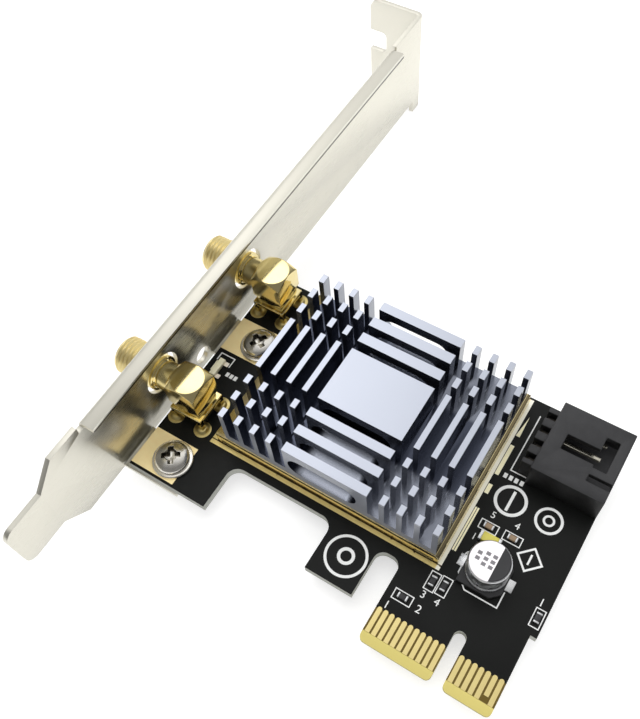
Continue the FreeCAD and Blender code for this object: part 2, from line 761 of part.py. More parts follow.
def power_fuse():
    inner = FUSE_L / 2 - FUSE_CAP_L
    return box(FUSE_X - inner, FUSE_X + inner, FUSE_Y - FUSE_W / 2, FUSE_Y + FUSE_W / 2, 0.05, FUSE_H)


def indicator_led():
    body = box(LED_X - LED_W / 2, LED_X + LED_W / 2, LED_Y - LED_L / 2, LED_Y + LED_L / 2, 0, LED_H)
    lens = box(LED_X - LED_W / 2 - LED_LENS_OUT, LED_X - LED_W / 2, LED_Y - LED_LENS_L / 2,
               LED_Y + LED_LENS_L / 2, 0.1, LED_H - 0.1)
    return body.fuse(lens).removeSplitter()


def led_terminals():
    start = LED_X + LED_W / 2
    feet = []
    for side in (-1, 1):
        y = LED_Y + side * (LED_L - LED_TERMINAL_W) / 2
        feet.append(box(start, start + LED_TERMINAL_L, y - LED_TERMINAL_W / 2, y + LED_TERMINAL_W / 2,
                        0, LED_TERMINAL_T))
    return Part.makeCompound(feet)


def radio_chip():
    half = CHIP_W / 2
    return box(CHIP_X - half, CHIP_X + half, CHIP_Y - half, CHIP_Y + half, 0, CHIP_H)


def inner_pad():
    half = CHIP_W / 2 - 1
    return box(CHIP_X - half, CHIP_X + half, CHIP_Y - half, CHIP_Y + half, CHIP_H, CAN_H - CAN_T)


def amplifier_chips():
    half = AMP_W / 2
    return Part.makeCompound([
        box(AMP_X - half, AMP_X + half, y - half, y + half, 0, AMP_H) for y in (AMP_LOWER_Y, AMP_UPPER_Y)])


def crystal():
    return box(CRYSTAL_X - CRYSTAL_L / 2, CRYSTAL_X + CRYSTAL_L / 2, CRYSTAL_Y - CRYSTAL_W / 2,
               CRYSTAL_Y + CRYSTAL_W / 2, 0, CRYSTAL_H)


save(circuit_board(), "circuit_board")
save(edge_contacts(0), "edge_contacts_front")
save(edge_contacts(-BOARD_T - PLATING_T), "edge_contacts_back")
save(bracket(), "bracket")
save(bracket_screws(), "bracket_screws")
save(screw_pads(), "screw_pads")
for name, place in (("lower", JACK_LOWER_Y), ("upper", JACK_UPPER_Y)):
    save(jack_body(place), "jack_" + name + "_body")
    save(jack_insulator(place), "jack_" + name + "_insulator")
    save(jack_contact(place), "jack_" + name + "_contact")
save(solder_joints(), "solder_joints")
save(shield_can(), "shield_can")
save(ground_ring(), "ground_ring")
save(side_strips(), "side_strips")
save(radio_chip(), "radio_chip")
save(inner_pad(), "inner_pad")
save(amplifier_chips(), "amplifier_chips")
save(crystal(), "crystal")
save(thermal_pad(), "thermal_pad")
save(heatsink(), "heatsink")
save(data_header_housing(), "data_header_housing")
save(data_header_pins(), "data_header_pins")
save(capacitor_can(), "capacitor_can")
save(capacitor_base(), "capacitor_base")
save(capacitor_terminals(), "capacitor_terminals")
save(chip_bodies(RESISTOR_PLACES), "chip_resistors")
save(chip_bodies(CHIP_CAPACITOR_PLACES), "chip_capacitors")
save(chip_end_caps(), "chip_end_caps")
save(power_fuse(), "power_fuse")
save(indicator_led(), "indicator_led")
save(led_terminals(), "led_terminals")
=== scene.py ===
import math

import bmesh
import bpy
from mathutils import Matrix, Vector


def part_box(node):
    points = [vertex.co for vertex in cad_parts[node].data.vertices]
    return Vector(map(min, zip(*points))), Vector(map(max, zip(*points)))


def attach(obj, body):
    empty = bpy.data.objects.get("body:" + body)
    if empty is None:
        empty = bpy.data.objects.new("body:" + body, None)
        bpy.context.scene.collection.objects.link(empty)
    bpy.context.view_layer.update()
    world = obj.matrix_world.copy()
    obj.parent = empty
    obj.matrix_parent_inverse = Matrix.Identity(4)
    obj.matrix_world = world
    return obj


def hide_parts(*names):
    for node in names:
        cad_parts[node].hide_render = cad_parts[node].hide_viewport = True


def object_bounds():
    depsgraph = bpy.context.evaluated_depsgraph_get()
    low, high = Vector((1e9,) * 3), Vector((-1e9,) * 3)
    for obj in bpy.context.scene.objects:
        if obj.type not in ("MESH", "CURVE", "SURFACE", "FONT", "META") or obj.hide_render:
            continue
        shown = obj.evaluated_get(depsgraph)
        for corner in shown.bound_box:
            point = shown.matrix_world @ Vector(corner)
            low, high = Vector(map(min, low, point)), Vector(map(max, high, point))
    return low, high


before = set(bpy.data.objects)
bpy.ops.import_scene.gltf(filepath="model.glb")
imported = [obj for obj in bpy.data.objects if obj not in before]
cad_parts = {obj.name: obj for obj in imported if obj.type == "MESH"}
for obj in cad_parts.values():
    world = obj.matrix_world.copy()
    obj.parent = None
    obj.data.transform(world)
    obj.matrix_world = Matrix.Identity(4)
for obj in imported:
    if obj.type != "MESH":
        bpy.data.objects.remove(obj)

bl_info = {
    "name": "Wireless network card",
    "version": (1, 0, 0),
    "blender": (4, 5, 0),
    "location": "View3D > Sidebar > Card",
    "description": "Dresses the solids of a wireless network card with detailed pieces and finishes",
    "category": "Object",
}

# Shapes are worked out in millimetres, in the frame of the solids, and scaled once when they become meshes.
MM = 0.001
CAD_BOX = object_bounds()


def box_mm(node):
    low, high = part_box(node)
    return low / MM, high / MM


BOARD_BACK = box_mm("circuit_board")[0].z
LEG_TIP = box_mm("jack_lower_body")[0].z
SINK = box_mm("heatsink")
CAN = box_mm("shield_can")
FINGER_TOP = box_mm("edge_contacts_front")[1].y
JACK_NAMES = ("lower", "upper")
JACK_TIP = box_mm("jack_lower_body")[0].x
JACK_PIN_HALF = 0.45
JACK_Z = box_mm("jack_lower_contact")[1].z - JACK_PIN_HALF
HEADER_PINS, HEADER_PIN_WIDTH = 4, 0.64
TONGUE_LEFT = -12.6
LIP_LEFT = -57.0
PRINT_LEVELS = (-0.01, 0.018)


# Node trees: sums on sockets, and one way to add any other node

def maths(operation, reflected=False):
    """Method that adds a Math node for two values, swapped in the reflected form."""

    def method(self, other):
        pair = (other, self) if reflected else (self, other)
        return self.sum(operation, *pair)

    return method


class Link:
    """An output socket that can be added, multiplied and compared."""

    def __init__(self, graph, socket):
        self.graph = graph
        self.socket = socket

    def sum(self, operation, *values):
        return self.graph.node("ShaderNodeMath", {"operation": operation}, dict(enumerate(values)))

    __add__, __radd__ = maths("ADD"), maths("ADD", reflected=True)
    __sub__, __rsub__ = maths("SUBTRACT"), maths("SUBTRACT", reflected=True)
    __mul__, __rmul__ = maths("MULTIPLY"), maths("MULTIPLY", reflected=True)
    __truediv__, __mod__, most = maths("DIVIDE"), maths("FLOORED_MODULO"), maths("MAXIMUM")

    def __abs__(self):
        return self.sum("ABSOLUTE", self)

    def __floordiv__(self, other):
        return self.sum("FLOOR", self / other)

    def sign(self):
        return self.sum("SIGN", self)

    def under(self, limit, soft=0.02):
        """1 below the limit and 0 above it, with a soft step."""
        return self.graph.node("ShaderNodeMapRange", {"interpolation_type": "SMOOTHSTEP"},
                               {0: self, 1: limit - soft, 2: limit + soft, 3: 1.0, 4: 0.0})

    def over(self, limit, soft=0.02):
        return 1 - self.under(limit, soft)

    def within(self, middle, half, soft=0.02):
        return abs(self - middle).under(half, soft)


class Graph:
    """A node tree that nodes are added to by type, settings and sockets."""

    def __init__(self, tree):
        self.tree = tree

    def node(self, kind, settings=None, sockets=None, out=0):
        made = self.tree.nodes.new(kind)
        for name, value in (settings or {}).items():
            setattr(made, name, value)
        for key, value in (sockets or {}).items():
            for one in value if isinstance(value, list) else [value]:
                if isinstance(one, Link):
                    self.tree.links.new(one.socket, made.inputs[key])
                else:
                    made.inputs[key].default_value = one
        return Link(self, made.outputs[out])

    def split(self, vector):
        """The three numbers of a vector."""
        first = self.node("ShaderNodeSeparateXYZ", {}, {0: vector})
        return [Link(self, socket) for socket in first.socket.node.outputs]

    def vector(self, x, y, z):
        return self.node("ShaderNodeCombineXYZ", {}, {0: x, 1: y, 2: z})

    def close(self, kind, last):
        """Joins the last node to an output node of the given type."""
        made = self.tree.nodes.new(kind)
        self.tree.links.new(last.socket, made.inputs[0])


class Finish(Graph):
    """A procedural material whose patterns are laid out in millimetres on the object."""

    def __init__(self, name):
        self.material = bpy.data.materials.new(name)
        self.material.use_nodes = True
        super().__init__(self.material.node_tree)
        self.tree.nodes.clear()
        spot = self.node("ShaderNodeTexCoord", out="Object")
        self.place = self.node("ShaderNodeVectorMath", {"operation": "SCALE"}, {0: spot, 3: 1 / MM})
        self.x, self.y, self.z = self.split(self.place)
        self.facing = self.split(self.node("ShaderNodeTexCoord", out="Normal"))

    def noise(self, scale, stretch=(1, 1, 1), detail=3.0):
        """Noise from 0 to 1, scale being its features per millimetre."""
        where = self.node("ShaderNodeVectorMath", {"operation": "MULTIPLY"}, {0: self.place, 1: stretch})
        return self.node("ShaderNodeTexNoise", {}, {"Vector": where, "Scale": scale, "Detail": detail}, "Fac")

    def mix(self, mask, first, second):
        """Colour that goes from the first to the second as the mask goes from 0 to 1."""
        colours = [c if isinstance(c, Link) else (*c[:3], 1.0) for c in (first, second)]
        return self.node("ShaderNodeMix", {"data_type": "RGBA"}, {0: mask, 6: colours[0], 7: colours[1]}, 2)

    def shade(self, colour, amount, mask):
        """The colour darkened by the amount where the mask is 0."""
        return self.mix(mask, [c * (1 - amount) for c in colour[:3]], colour)

    def done(self, colour, roughness, metallic=0.0, height=None, depth=0.02, **fixed):
        """Joins the shader up. Depth is the relief in millimetres of the height from 0 to 1."""
        sockets = {"Base Color": colour if isinstance(colour, Link) else (*colour[:3], 1.0),
                   "Roughness": roughness, "Metallic": metallic}
        for name, value in fixed.items():
            sockets[name.replace("_", " ").title().replace("Ior", "IOR")] = value
        if height is not None:
            sockets["Normal"] = self.node("ShaderNodeBump", {}, {
                "Strength": 1.0, "Distance": depth * MM, "Height": height})
        return self.ended(self.node("ShaderNodeBsdfPrincipled", {}, sockets))

    def ended(self, shader):
        self.close("ShaderNodeOutputMaterial", shader)
        return self.material


class Pattern(Graph):
    """A Geometry Nodes tree with named sizes, which ends in plain geometry with one finish."""

    def __init__(self, name, sizes):
        super().__init__(bpy.data.node_groups.new(name, "GeometryNodeTree"))
        face = self.tree.interface
        face.new_socket("Geometry", in_out="INPUT", socket_type="NodeSocketGeometry")
        face.new_socket("Geometry", in_out="OUTPUT", socket_type="NodeSocketGeometry")
        self.keys = {}
        for label, kind in sizes.items():
            self.keys[label] = face.new_socket(label, in_out="INPUT", socket_type=kind).identifier
        self.inputs = self.tree.nodes.new("NodeGroupInput")

    def size(self, label):
        return Link(self, self.inputs.outputs[label])

    def end(self, geometry, material):
        solid = self.node("GeometryNodeRealizeInstances", {}, {0: geometry})
        self.close("NodeGroupOutput", self.node("GeometryNodeSetMaterial", {}, {
            "Geometry": solid, "Material": material}))

    def grow(self, mesh, values):
        """Plain mesh that the tree makes of the given one."""
        holder = linked("pattern", mesh)
        modifier = holder.modifiers.new("pattern", "NODES")
        modifier.node_group = self.tree
        for label, value in values.items():
            modifier[self.keys[label]] = value
        made = evaluated(holder)
        bpy.data.objects.remove(holder)
        return made


# Meshes and pieces

def linked(name, mesh):
    made = bpy.data.objects.new(name, mesh)
    bpy.context.scene.collection.objects.link(made)
    return made


def evaluated(holder):
    bpy.context.view_layer.update()
    depsgraph = bpy.context.evaluated_depsgraph_get()
    return bpy.data.meshes.new_from_object(holder.evaluated_get(depsgraph))


def as_mesh(shape, closed=True):
    """Mesh in metres from a shape in millimetres."""
    if closed:
        bmesh.ops.recalc_face_normals(shape, faces=shape.faces)
    bmesh.ops.scale(shape, vec=(MM, MM, MM), verts=shape.verts)
    mesh = bpy.data.meshes.new("shape")
    shape.to_mesh(mesh)
    shape.free()
    return mesh


def worked(mesh, *steps):
    """Mesh after modifiers, each given as its type and settings."""
    holder = linked("blank", mesh)
    for kind, settings in steps:
        modifier = holder.modifiers.new(kind, kind)
        for name, value in settings.items():
            setattr(modifier, name, value)
    made = evaluated(holder)
    bpy.data.objects.remove(holder)
    return made


def bevel(width_mm, segments=2, angle=30):
    return ("BEVEL", {"width": width_mm * MM, "segments": segments, "limit_method": "ANGLE",
                      "angle_limit": math.radians(angle), "miter_outer": "MITER_ARC"})


def carved(mesh, cutter, operation="DIFFERENCE"):
    """Mesh with the cutter taken away, or with only what both hold."""
    tool = linked("cutter", cutter)
    made = worked(mesh, ("BOOLEAN", {"operation": operation, "solver": "EXACT", "use_self": True,
                                     "object": tool}))
    bpy.data.objects.remove(tool)
    return made


def copied(node):
    """Merged copy of a solid's mesh, with its flat faces in one piece each."""
    shape = bmesh.new()
    shape.from_mesh(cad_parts[node].data)
    bmesh.ops.remove_doubles(shape, verts=shape.verts, dist=1e-6)
    bmesh.ops.dissolve_limit(shape, angle_limit=math.radians(0.5), verts=shape.verts, edges=shape.edges)
    mesh = bpy.data.meshes.new(node)
    shape.to_mesh(mesh)
    shape.free()
    return mesh


def joined(*meshes):
    shape = bmesh.new()
    for mesh in meshes:
        shape.from_mesh(mesh)
    mesh = bpy.data.meshes.new("joined")
    shape.to_mesh(mesh)
    shape.free()
    return mesh


def piece(name, mesh, material, replaces=(), smooth=35):
    """Object at the origin that rides on the card and has one finish."""
    made = linked(name, mesh)
    mesh.name = name
    mesh.materials.clear()
    mesh.materials.append(material)
    mesh.polygons.foreach_set("material_index", [0] * len(mesh.polygons))
    mesh.shade_smooth()
    mesh.set_sharp_from_angle(angle=math.radians(smooth))
    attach(made, "root")
    if replaces:
        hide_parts(*replaces)
    return made


def rounded(name, node, edge_mm, material, angle=30):
    """Piece that is one solid with its edges rounded."""
    piece(name, worked(copied(node), bevel(edge_mm, angle=angle)), material, (node,))


def painted(material, *nodes):
    """Gives solids a finish and leaves their meshes alone."""
    for node in nodes:
        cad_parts[node].data.materials.clear()
        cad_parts[node].data.materials.append(material)


def block(shape, low, high):
    size = Vector(high) - Vector(low)
    middle = (Vector(high) + Vector(low)) / 2
    place = Matrix.Translation(middle) @ Matrix.Diagonal((*size, 1.0))
    bmesh.ops.create_cube(shape, size=1.0, matrix=place)


def post(shape, x, y, half, low, high):
    """Square upright block."""
    block(shape, (x - half, y - half, low), (x + half, y + half, high))


def lathe(shape, profile, centre=(0, 0, 0), along="Z", segments=64, ripple=None):
    """Closed turned shape from (distance, radius) points that start and end on the axis."""
    ahead, side, up = {"Z": ((0, 0, 1), (1, 0, 0), (0, 1, 0)), "X": ((1, 0, 0), (0, 1, 0), (0, 0, 1))}[along]
    rings = []
    for distance, radius in profile:
        middle = Vector(centre) + Vector(ahead) * distance
        if radius < 1e-6:
            rings.append([shape.verts.new(middle)])
            continue
        ring = []
        for i in range(segments):
            angle = math.tau * i / segments
            reach = radius - (ripple(distance, angle) if ripple else 0.0)
            ring.append(shape.verts.new(middle + (Vector(side) * math.cos(angle)
                                                  + Vector(up) * math.sin(angle)) * reach))
        rings.append(ring)
    for low, high in zip(rings, rings[1:]):
        for i in range(segments):
            j = (i + 1) % segments
            corners = (low[i % len(low)], low[j % len(low)], high[j % len(high)], high[i % len(high)])
            corners = list(dict.fromkeys(corners))
            if len(corners) > 2:
                shape.faces.new(corners)


def turned(profile, *args, **settings):
    """Mesh of one turned shape."""
    shape = bmesh.new()
    lathe(shape, profile, *args, **settings)
    return as_mesh(shape)


def prism(shape, points, low, high):
    """Upright solid on a flat outline."""
    rings = [[shape.verts.new((x, y, z)) for x, y in points] for z in (low, high)]
    shape.faces.new(list(reversed(rings[0])))
    shape.faces.new(rings[1])
    for i in range(len(points)):
        j = (i + 1) % len(points)
        shape.faces.new((rings[0][i], rings[0][j], rings[1][j], rings[1][i]))


def arc(centre, radius, start, end, steps):
    """Points on an arc, its angles in degrees."""
    turns = [math.radians(start + (end - start) * i / steps) for i in range(steps + 1)]
    return [(centre[0] + radius * math.cos(a), centre[1] + radius * math.sin(a)) for a in turns]


def places(spots):
    """Mesh of loose points, each with the turn of what stands there."""
    mesh = bpy.data.meshes.new("places")
    mesh.from_pydata([Vector(spot[:3]) * MM for spot in spots], [], [])
    turns = mesh.attributes.new("turn", "FLOAT_VECTOR", "POINT")
    for i, spot in enumerate(spots):
        turns.data[i].vector = (0.0, 0.0, math.radians(spot[3] if len(spot) > 3 else 0.0))
    return mesh


def repeated(mesh, spots, material):
    """The mesh once at each spot, turned as the spot says, by a Geometry Nodes tree."""
    pattern = Pattern("repeat_at_places", {"Shape": "NodeSocketObject", "Size": "NodeSocketFloat"})
    shape = pattern.node("GeometryNodeObjectInfo", {"transform_space": "ORIGINAL"},
                         {"Object": pattern.size("Shape")}, "Geometry")
    turn = pattern.node("GeometryNodeInputNamedAttribute", {"data_type": "FLOAT_VECTOR"},
                        {"Name": "turn"}, "Attribute")
    rotation = pattern.node("FunctionNodeEulerToRotation", {}, {0: turn})
    stood = pattern.node("GeometryNodeInstanceOnPoints", {}, {
        "Points": pattern.size("Geometry"), "Instance": shape, "Rotation": rotation,
        "Scale": pattern.vector(*[pattern.size("Size")] * 3)})
    pattern.end(stood, material)
    holder = linked("shape", mesh)
    made = pattern.grow(places(spots), {"Shape": holder, "Size": 1.0})
    bpy.data.objects.remove(holder)
    return made


def set_out(name, mesh, spots, material, replaces=()):
    """Piece that is the same mesh at each spot."""
    piece(name, repeated(mesh, spots, material), material, replaces)


# Sizes and colours that a user would change

def length(label, millimetres, note):
    return bpy.props.FloatProperty(name=label, description=note, default=millimetres * MM, min=0.0,
                                   precision=5, unit="LENGTH")


def colour(label, value, note):
    return bpy.props.FloatVectorProperty(name=label, description=note, default=value, size=3,
                                         min=0.0, max=1.0, subtype="COLOR")


def whole(label, number, note):
    return bpy.props.IntProperty(name=label, description=note, default=number, min=1)


class InMillimetres:
    """Reads the lengths of a property group in millimetres."""

    def __init__(self, group):
        self.group = group

    def __getattr__(self, name):
        return getattr(self.group, name) / MM


class CardJackSizes(bpy.types.PropertyGroup):
    thread_radius: length("Thread radius", 3.175, "Outside radius of the antenna thread")
    thread_pitch: length("Thread pitch", 0.7056, "Distance from one thread to the next")
    thread_depth: length("Thread depth", 0.3, "Height of the thread from root to crest")
    thread_end: length("Thread length", 6.3, "Length of the thread from the tip")
    collar_radius: length("Collar radius", 3.0, "Radius of the collar that stands in the bracket's hole")
    collar_length: length("Collar length", 1.4, "Length of the collar behind the thread")
    neck_radius: length("Neck radius", 2.4, "Radius of the round neck in front of the elbow")
    elbow_half: length("Elbow half width", 2.8, "Half the width of the square elbow")
    elbow_low: length("Elbow underside", 4.0, "Height of the elbow's underside above the board")
    elbow_top: length("Elbow top", 10.0, "Height of the elbow's top above the board")
    flat_radius: length("Turned flat", 2.7, "Radius of the round flat left by turning the elbow's top")
    corner_drop: length("Corner drop", 1.2, "How far the turned corners fall below the flat")
    base_half: length("Base half width", 3.0, "Half the width of the square base plate")
    base_low: length("Base underside", 2.0, "Height of the base plate above the board")
    base_top: length("Base top", 3.1, "Height of the base plate's upper face above the board")
    leg_reach: length("Leg reach", 2.6, "Distance of the legs from the middle, both ways")
    leg_half: length("Leg half width", 0.4, "Half the width of the square legs")
    bore_radius: length("Bore radius", 2.3, "Radius of the mouth")
    bore_depth: length("Bore depth", 1.9, "Depth of the mouth in front of the insulator")


class CardHeatsinkSizes(bpy.types.PropertyGroup):
    fin_width: length("Fin width", 0.89, "Width of the fins along the card edge")
    fin_gap: length("Fin gap", 1.93, "Groove between two fins")
    ridge_width: length("Front ridge width", 1.5, "Width of the ridges on the side of the card edge")
    ridge_gap: length("Front ridge gap", 1.8, "Groove between two of them")
    back_width: length("Back ridge width", 1.75, "Width of the ridges on the far side")
    back_gap: length("Back ridge gap", 1.57, "Groove between two of them")
    base: length("Base thickness", 1.5, "Thickness of the plate that carries the fins")
    slot_wall_left: length("Slot wall left", 0.65, "Wall between the round-ended slot and the first groove")
    slot_wall_right: length("Slot wall right", 1.85, "Wall at the slot's other end")
    slot_roof: length("Slot roof", 1.9, "Metal left above the slot")
    edge: length("Edge round", 0.09, "Most that an edge is rounded, less where short edges leave no room")
    fins: whole("Fins", 4, "Fins on each side of the centre block")
    ridges: whole("Ridges", 3, "Ridges on each side of the centre block")


class CardSmallSizes(bpy.types.PropertyGroup):
    sheet_edge: length("Sheet edge", 0.08, "Rounding of the bracket's sheared edges")
    screw_head: length("Screw head radius", 2.8, "Radius of the bracket screws' heads")
    screw_height: length("Screw head height", 1.65, "Height of the heads above their washers")
    washer: length("Washer radius", 3.3, "Radius of the washers")
    land: length("Land radius", 1.45, "Radius of the gold lands round the jacks' legs")
    print_line: length("Print line", 0.2, "Width of the white printed lines")
    housing_edge: length("Housing edge", 0.14, "Rounding of the data header's edges")


class CardColours(bpy.types.PropertyGroup):
    mask: colour("Solder mask", (0.0045, 0.005, 0.0045), "Black lacquer of the board")
    laminate: colour("Laminate", (0.60, 0.61, 0.56), "Cut edges of the board")
    tongue: colour("Bare tongue", (0.62, 0.53, 0.17), "Board without lacquer at the gold contacts")
    plating: colour("Gold plating", (0.80, 0.66, 0.29), "Contacts, lands and frame")
    jacks: colour("Jack gold", (0.98, 0.83, 0.42), "Polished antenna jacks")
    nickel: colour("Nickel", (0.85, 0.825, 0.73), "Sheet of the bracket")
    # The heatsink's two colours are one anodised metal: painted light on its tops and painted shade on its
    # sides and between its fins
    lit_anodised: colour("Anodised", (0.53, 0.56, 0.64), "Tops of the heatsink")
    shaded_grooves: colour("Grooves", (0.085, 0.095, 0.13), "Sawn sides of the fins and grooves between them")
    plastic: colour("Black plastic", (0.036, 0.036, 0.038), "Data header and capacitor foot")
    printing: colour("White print", (0.84, 0.85, 0.84), "Lines and figures on the board")


class CardStageSettings(bpy.types.PropertyGroup):
    lamp_power: bpy.props.FloatProperty(name="Lamp power", description="Power of the soft lamp above",
                                        default=1.0, min=0.0, unit="POWER")
    sky: bpy.props.FloatProperty(name="Sky", description="Strength of the even light from all sides",
                                 default=0.7, min=0.0)
    floor_gap: length("Floor gap", 0.05, "Room between the object and the floor")


# Finishes

def board_finish(colours):
    f = Finish("board_lacquer")
    cloud = f.noise(0.35, detail=4.0)
    mask = f.shade(colours.mask, 0.35, cloud)
    weave = f.noise(6.0, stretch=(1, 1, 4), detail=2.0)
    edge = f.shade(colours.laminate, 0.35, weave)
    side = abs(f.facing[2]).under(0.5, 0.1)
    between = f.y.over(1.38, 0.05) * f.facing[2].over(0.9, 0.02)
    bare = f.mix(between, colours.tongue, (0.12, 0.08, 0.014))
    tongue = f.y.under(FINGER_TOP - 0.3, 0.03) * f.x.over(TONGUE_LEFT, 0.02)
    top = f.mix(tongue, mask, bare)
    grain = f.noise(5.0, detail=2.0)
    rough = 0.38 + 0.12 * f.noise(1.1) + 0.35 * side
    return f.done(f.mix(side * (1 - tongue * 0.8), top, edge), rough, height=grain, depth=0.006,
                  specular_ior_level=0.22)


def plating_finish(colours, name="gold_plating", gain=1.0):
    f = Finish(name)
    streak = f.noise(1.6, stretch=(3, 0.4, 1))
    cloud = f.noise(0.5)
    base = f.shade([c * gain for c in colours.plating], 0.22, cloud * 0.7 + streak * 0.3)
    return f.done(base, 0.24 + 0.16 * streak, 1.0, height=f.noise(7.0), depth=0.004)


def pale_finish(name, dark, light, rough):
    """Flat gold plating that mostly scatters the light."""
    f = Finish(name)
    cloud = f.noise(0.8)
    return f.done(f.mix(cloud, dark, light), rough + 0.15 * cloud, 0.1, height=f.noise(5.0), depth=0.004)


def strip_finish(colours):
    """Gold of the frame round the can, with a painted reflection in pale cream right of the can, and the dark
    seam and solder spots along the can's foot.
    """
    f = Finish("gold_frame")
    cloud = f.noise(0.9)
    spots = f.noise(1.1, detail=1.0).over(0.66, 0.02)
    foot = f.y.within(CAN[0].y - 0.07, 0.2, 0.05)
    seam = f.y.within(CAN[0].y - 0.02, 0.07 + 0.05 * cloud, 0.03)
    # Painted reflection: right of the can the frame is painted pale cream and made less metallic
    flank_reflection = f.x.over(CAN[1].x, 0.1)
    base = f.mix(flank_reflection, f.shade([c * 1.25 for c in colours.plating], 0.22, cloud), (0.93, 0.91, 0.80))
    worn = f.mix((spots * foot).most(seam), base, (0.05, 0.03, 0.01))
    return f.done(worn, 0.24 + 0.14 * cloud, 0.75 - 0.25 * flank_reflection, height=f.noise(4.0), depth=0.006)


def jack_finish(colours, thread_end):
    f = Finish("polished_gold")
    lines = f.noise(3.0, stretch=(3, 0.3, 0.3), detail=2.0)
    thread = f.x.under(thread_end, 0.1)
    base = f.mix(thread, f.shade(colours.jacks, 0.12, f.noise(0.6)), (1.0, 0.85, 0.45))
    return f.done(base, 0.085 + 0.05 * lines + 0.3 * thread, 1.0, height=lines, depth=0.003)


def nickel_finish(colours):
    f = Finish("nickel_sheet")
    grain = f.noise(2.2, stretch=(6, 0.12, 6), detail=4.0)
    cloud = f.noise(0.09, detail=3.0)
    inside = f.facing[0].over(0.6, 0.1)
    cut = abs(f.facing[2]).over(0.6, 0.2) * f.z.over(10.0, 0.1)
    base = f.shade(colours.nickel, 0.14, cloud * 0.6 + grain * 0.4)
    lip = box_mm("bracket")[1].z - 0.7
    # Painted shadow: the lip's inner edge, where it faces the board at the lip's height, is painted near
    # black
    lip_edge_shadow = inside * f.x.over(LIP_LEFT, 0.05) * f.z.within(lip, 0.22, 0.05)
    base = f.mix(lip_edge_shadow, base, (0.10, 0.09, 0.07))
    rough = 0.30 + 0.10 * grain - 0.09 * inside + 0.05 * cloud + 0.06 * cut
    return f.done(base, rough, 1.0, height=grain, depth=0.004)


def screw_finish(spots, top):
    """Bright nickel, with painted shade on the walls of the cross recesses."""
    f = Finish("bright_nickel")
    base = f.mix(f.noise(1.5), (0.80, 0.77, 0.70), (0.96, 0.93, 0.87))
    near = 0.0
    for spot in spots:
        across, along = f.x - spot[0], f.y - spot[1]
        near = (across * across + along * along).under(3.6, 0.3).most(near)
    # Painted shade, near black, on the recess walls close to each screw's top
    recess_shade = near * f.z.within(top - 0.95, 0.45, 0.05)
    return f.done(f.mix(recess_shade, base, (0.16, 0.15, 0.13)), 0.16 + 0.12 * f.noise(3.0), 1.0,
                  height=f.noise(6.0), depth=0.006)


def sink_finish(colours):
    """Anodised metal with painted light on the tops and in the long slot, and painted shade on the sawn sides
    and between the fins.
    """
    f = Finish("satin_anodised")
    cloud = f.noise(0.12, detail=2.0)
    fine = f.noise(9.0, detail=2.0)
    # Painted light and shade: faces turned up get the lit colour, low ones the shade, partly lifted in the
    # long slot and at the right-hand corners
    level = f.facing[2].over(0.85, 0.1)
    low = f.z.under(SINK[1].z - 0.5, 0.1)
    middle = (SINK[0] + SINK[1]) / 2
    corner = f.x.over(middle.x + 6.0, 1.5) * abs(f.y - middle.y).over(6.0, 0.5)
    slot = (0.6 * f.x.within(middle.x - 0.6, 5.9, 0.2)).most(0.4 * corner)
    # Painted light on outer sides: the back row's right faces, the front faces and the right end get, in
    # part, a half-lit copy of the tops' colour in place of the shade
    back_row = f.y.over(SINK[1].y - 2.0, 0.1) * f.facing[0].over(0.5, 0.1)
    first_row = f.y.under(SINK[0].y + 0.05, 0.04)
    front = f.facing[1].under(-0.5, 0.1) * (0.1 + 0.25 * f.y.under(SINK[0].y + 9.0, 0.5)).most(first_row)
    outer = front.most(back_row).most(f.x.over(SINK[1].x - 0.05, 0.04))
    # The lit colour of the tops, and the painted shade of the sides with its half-lit outer faces
    pale = f.shade(colours.lit_anodised, 0.08, cloud * 0.6 + fine * 0.4)
    dark = f.mix(outer, colours.shaded_grooves, [0.62 * c for c in colours.lit_anodised])
    base = f.mix(level * (1 - low * (1 - slot)), dark, pale)
    return f.done(base, 0.28 - 0.08 * low + 0.06 * fine, 1.0 - 0.75 * front, height=fine, depth=0.002)


def plastic_finish(name, colours):
    f = Finish(name)
    grain = f.noise(8.0, detail=3.0)
    top = f.shade(colours.plastic, 0.3, f.noise(0.7))
    # Painted shade: faces that are not turned up are painted near black
    base = f.mix(f.facing[2].under(0.5, 0.1), top, (0.008, 0.008, 0.008))
    return f.done(base, 0.42 + 0.18 * grain, height=grain, depth=0.02, specular_ior_level=0.35)


def tin_finish(name, dark, light, rough, relief=0.012):
    f = Finish(name)
    flow = f.noise(1.3, detail=3.0)
    return f.done(f.mix(flow, dark, light), rough + 0.15 * f.noise(3.1), 1.0, height=flow, depth=relief)


def moulded_finish(name, dark, light, rough, relief=0.01, **fixed):
    """Finish of a small moulded, glazed or printed thing."""
    f = Finish(name)
    grain = f.noise(6.0, detail=3.0)
    return f.done(f.mix(f.noise(0.8), dark, light), rough + 0.15 * grain, height=grain, depth=relief, **fixed)


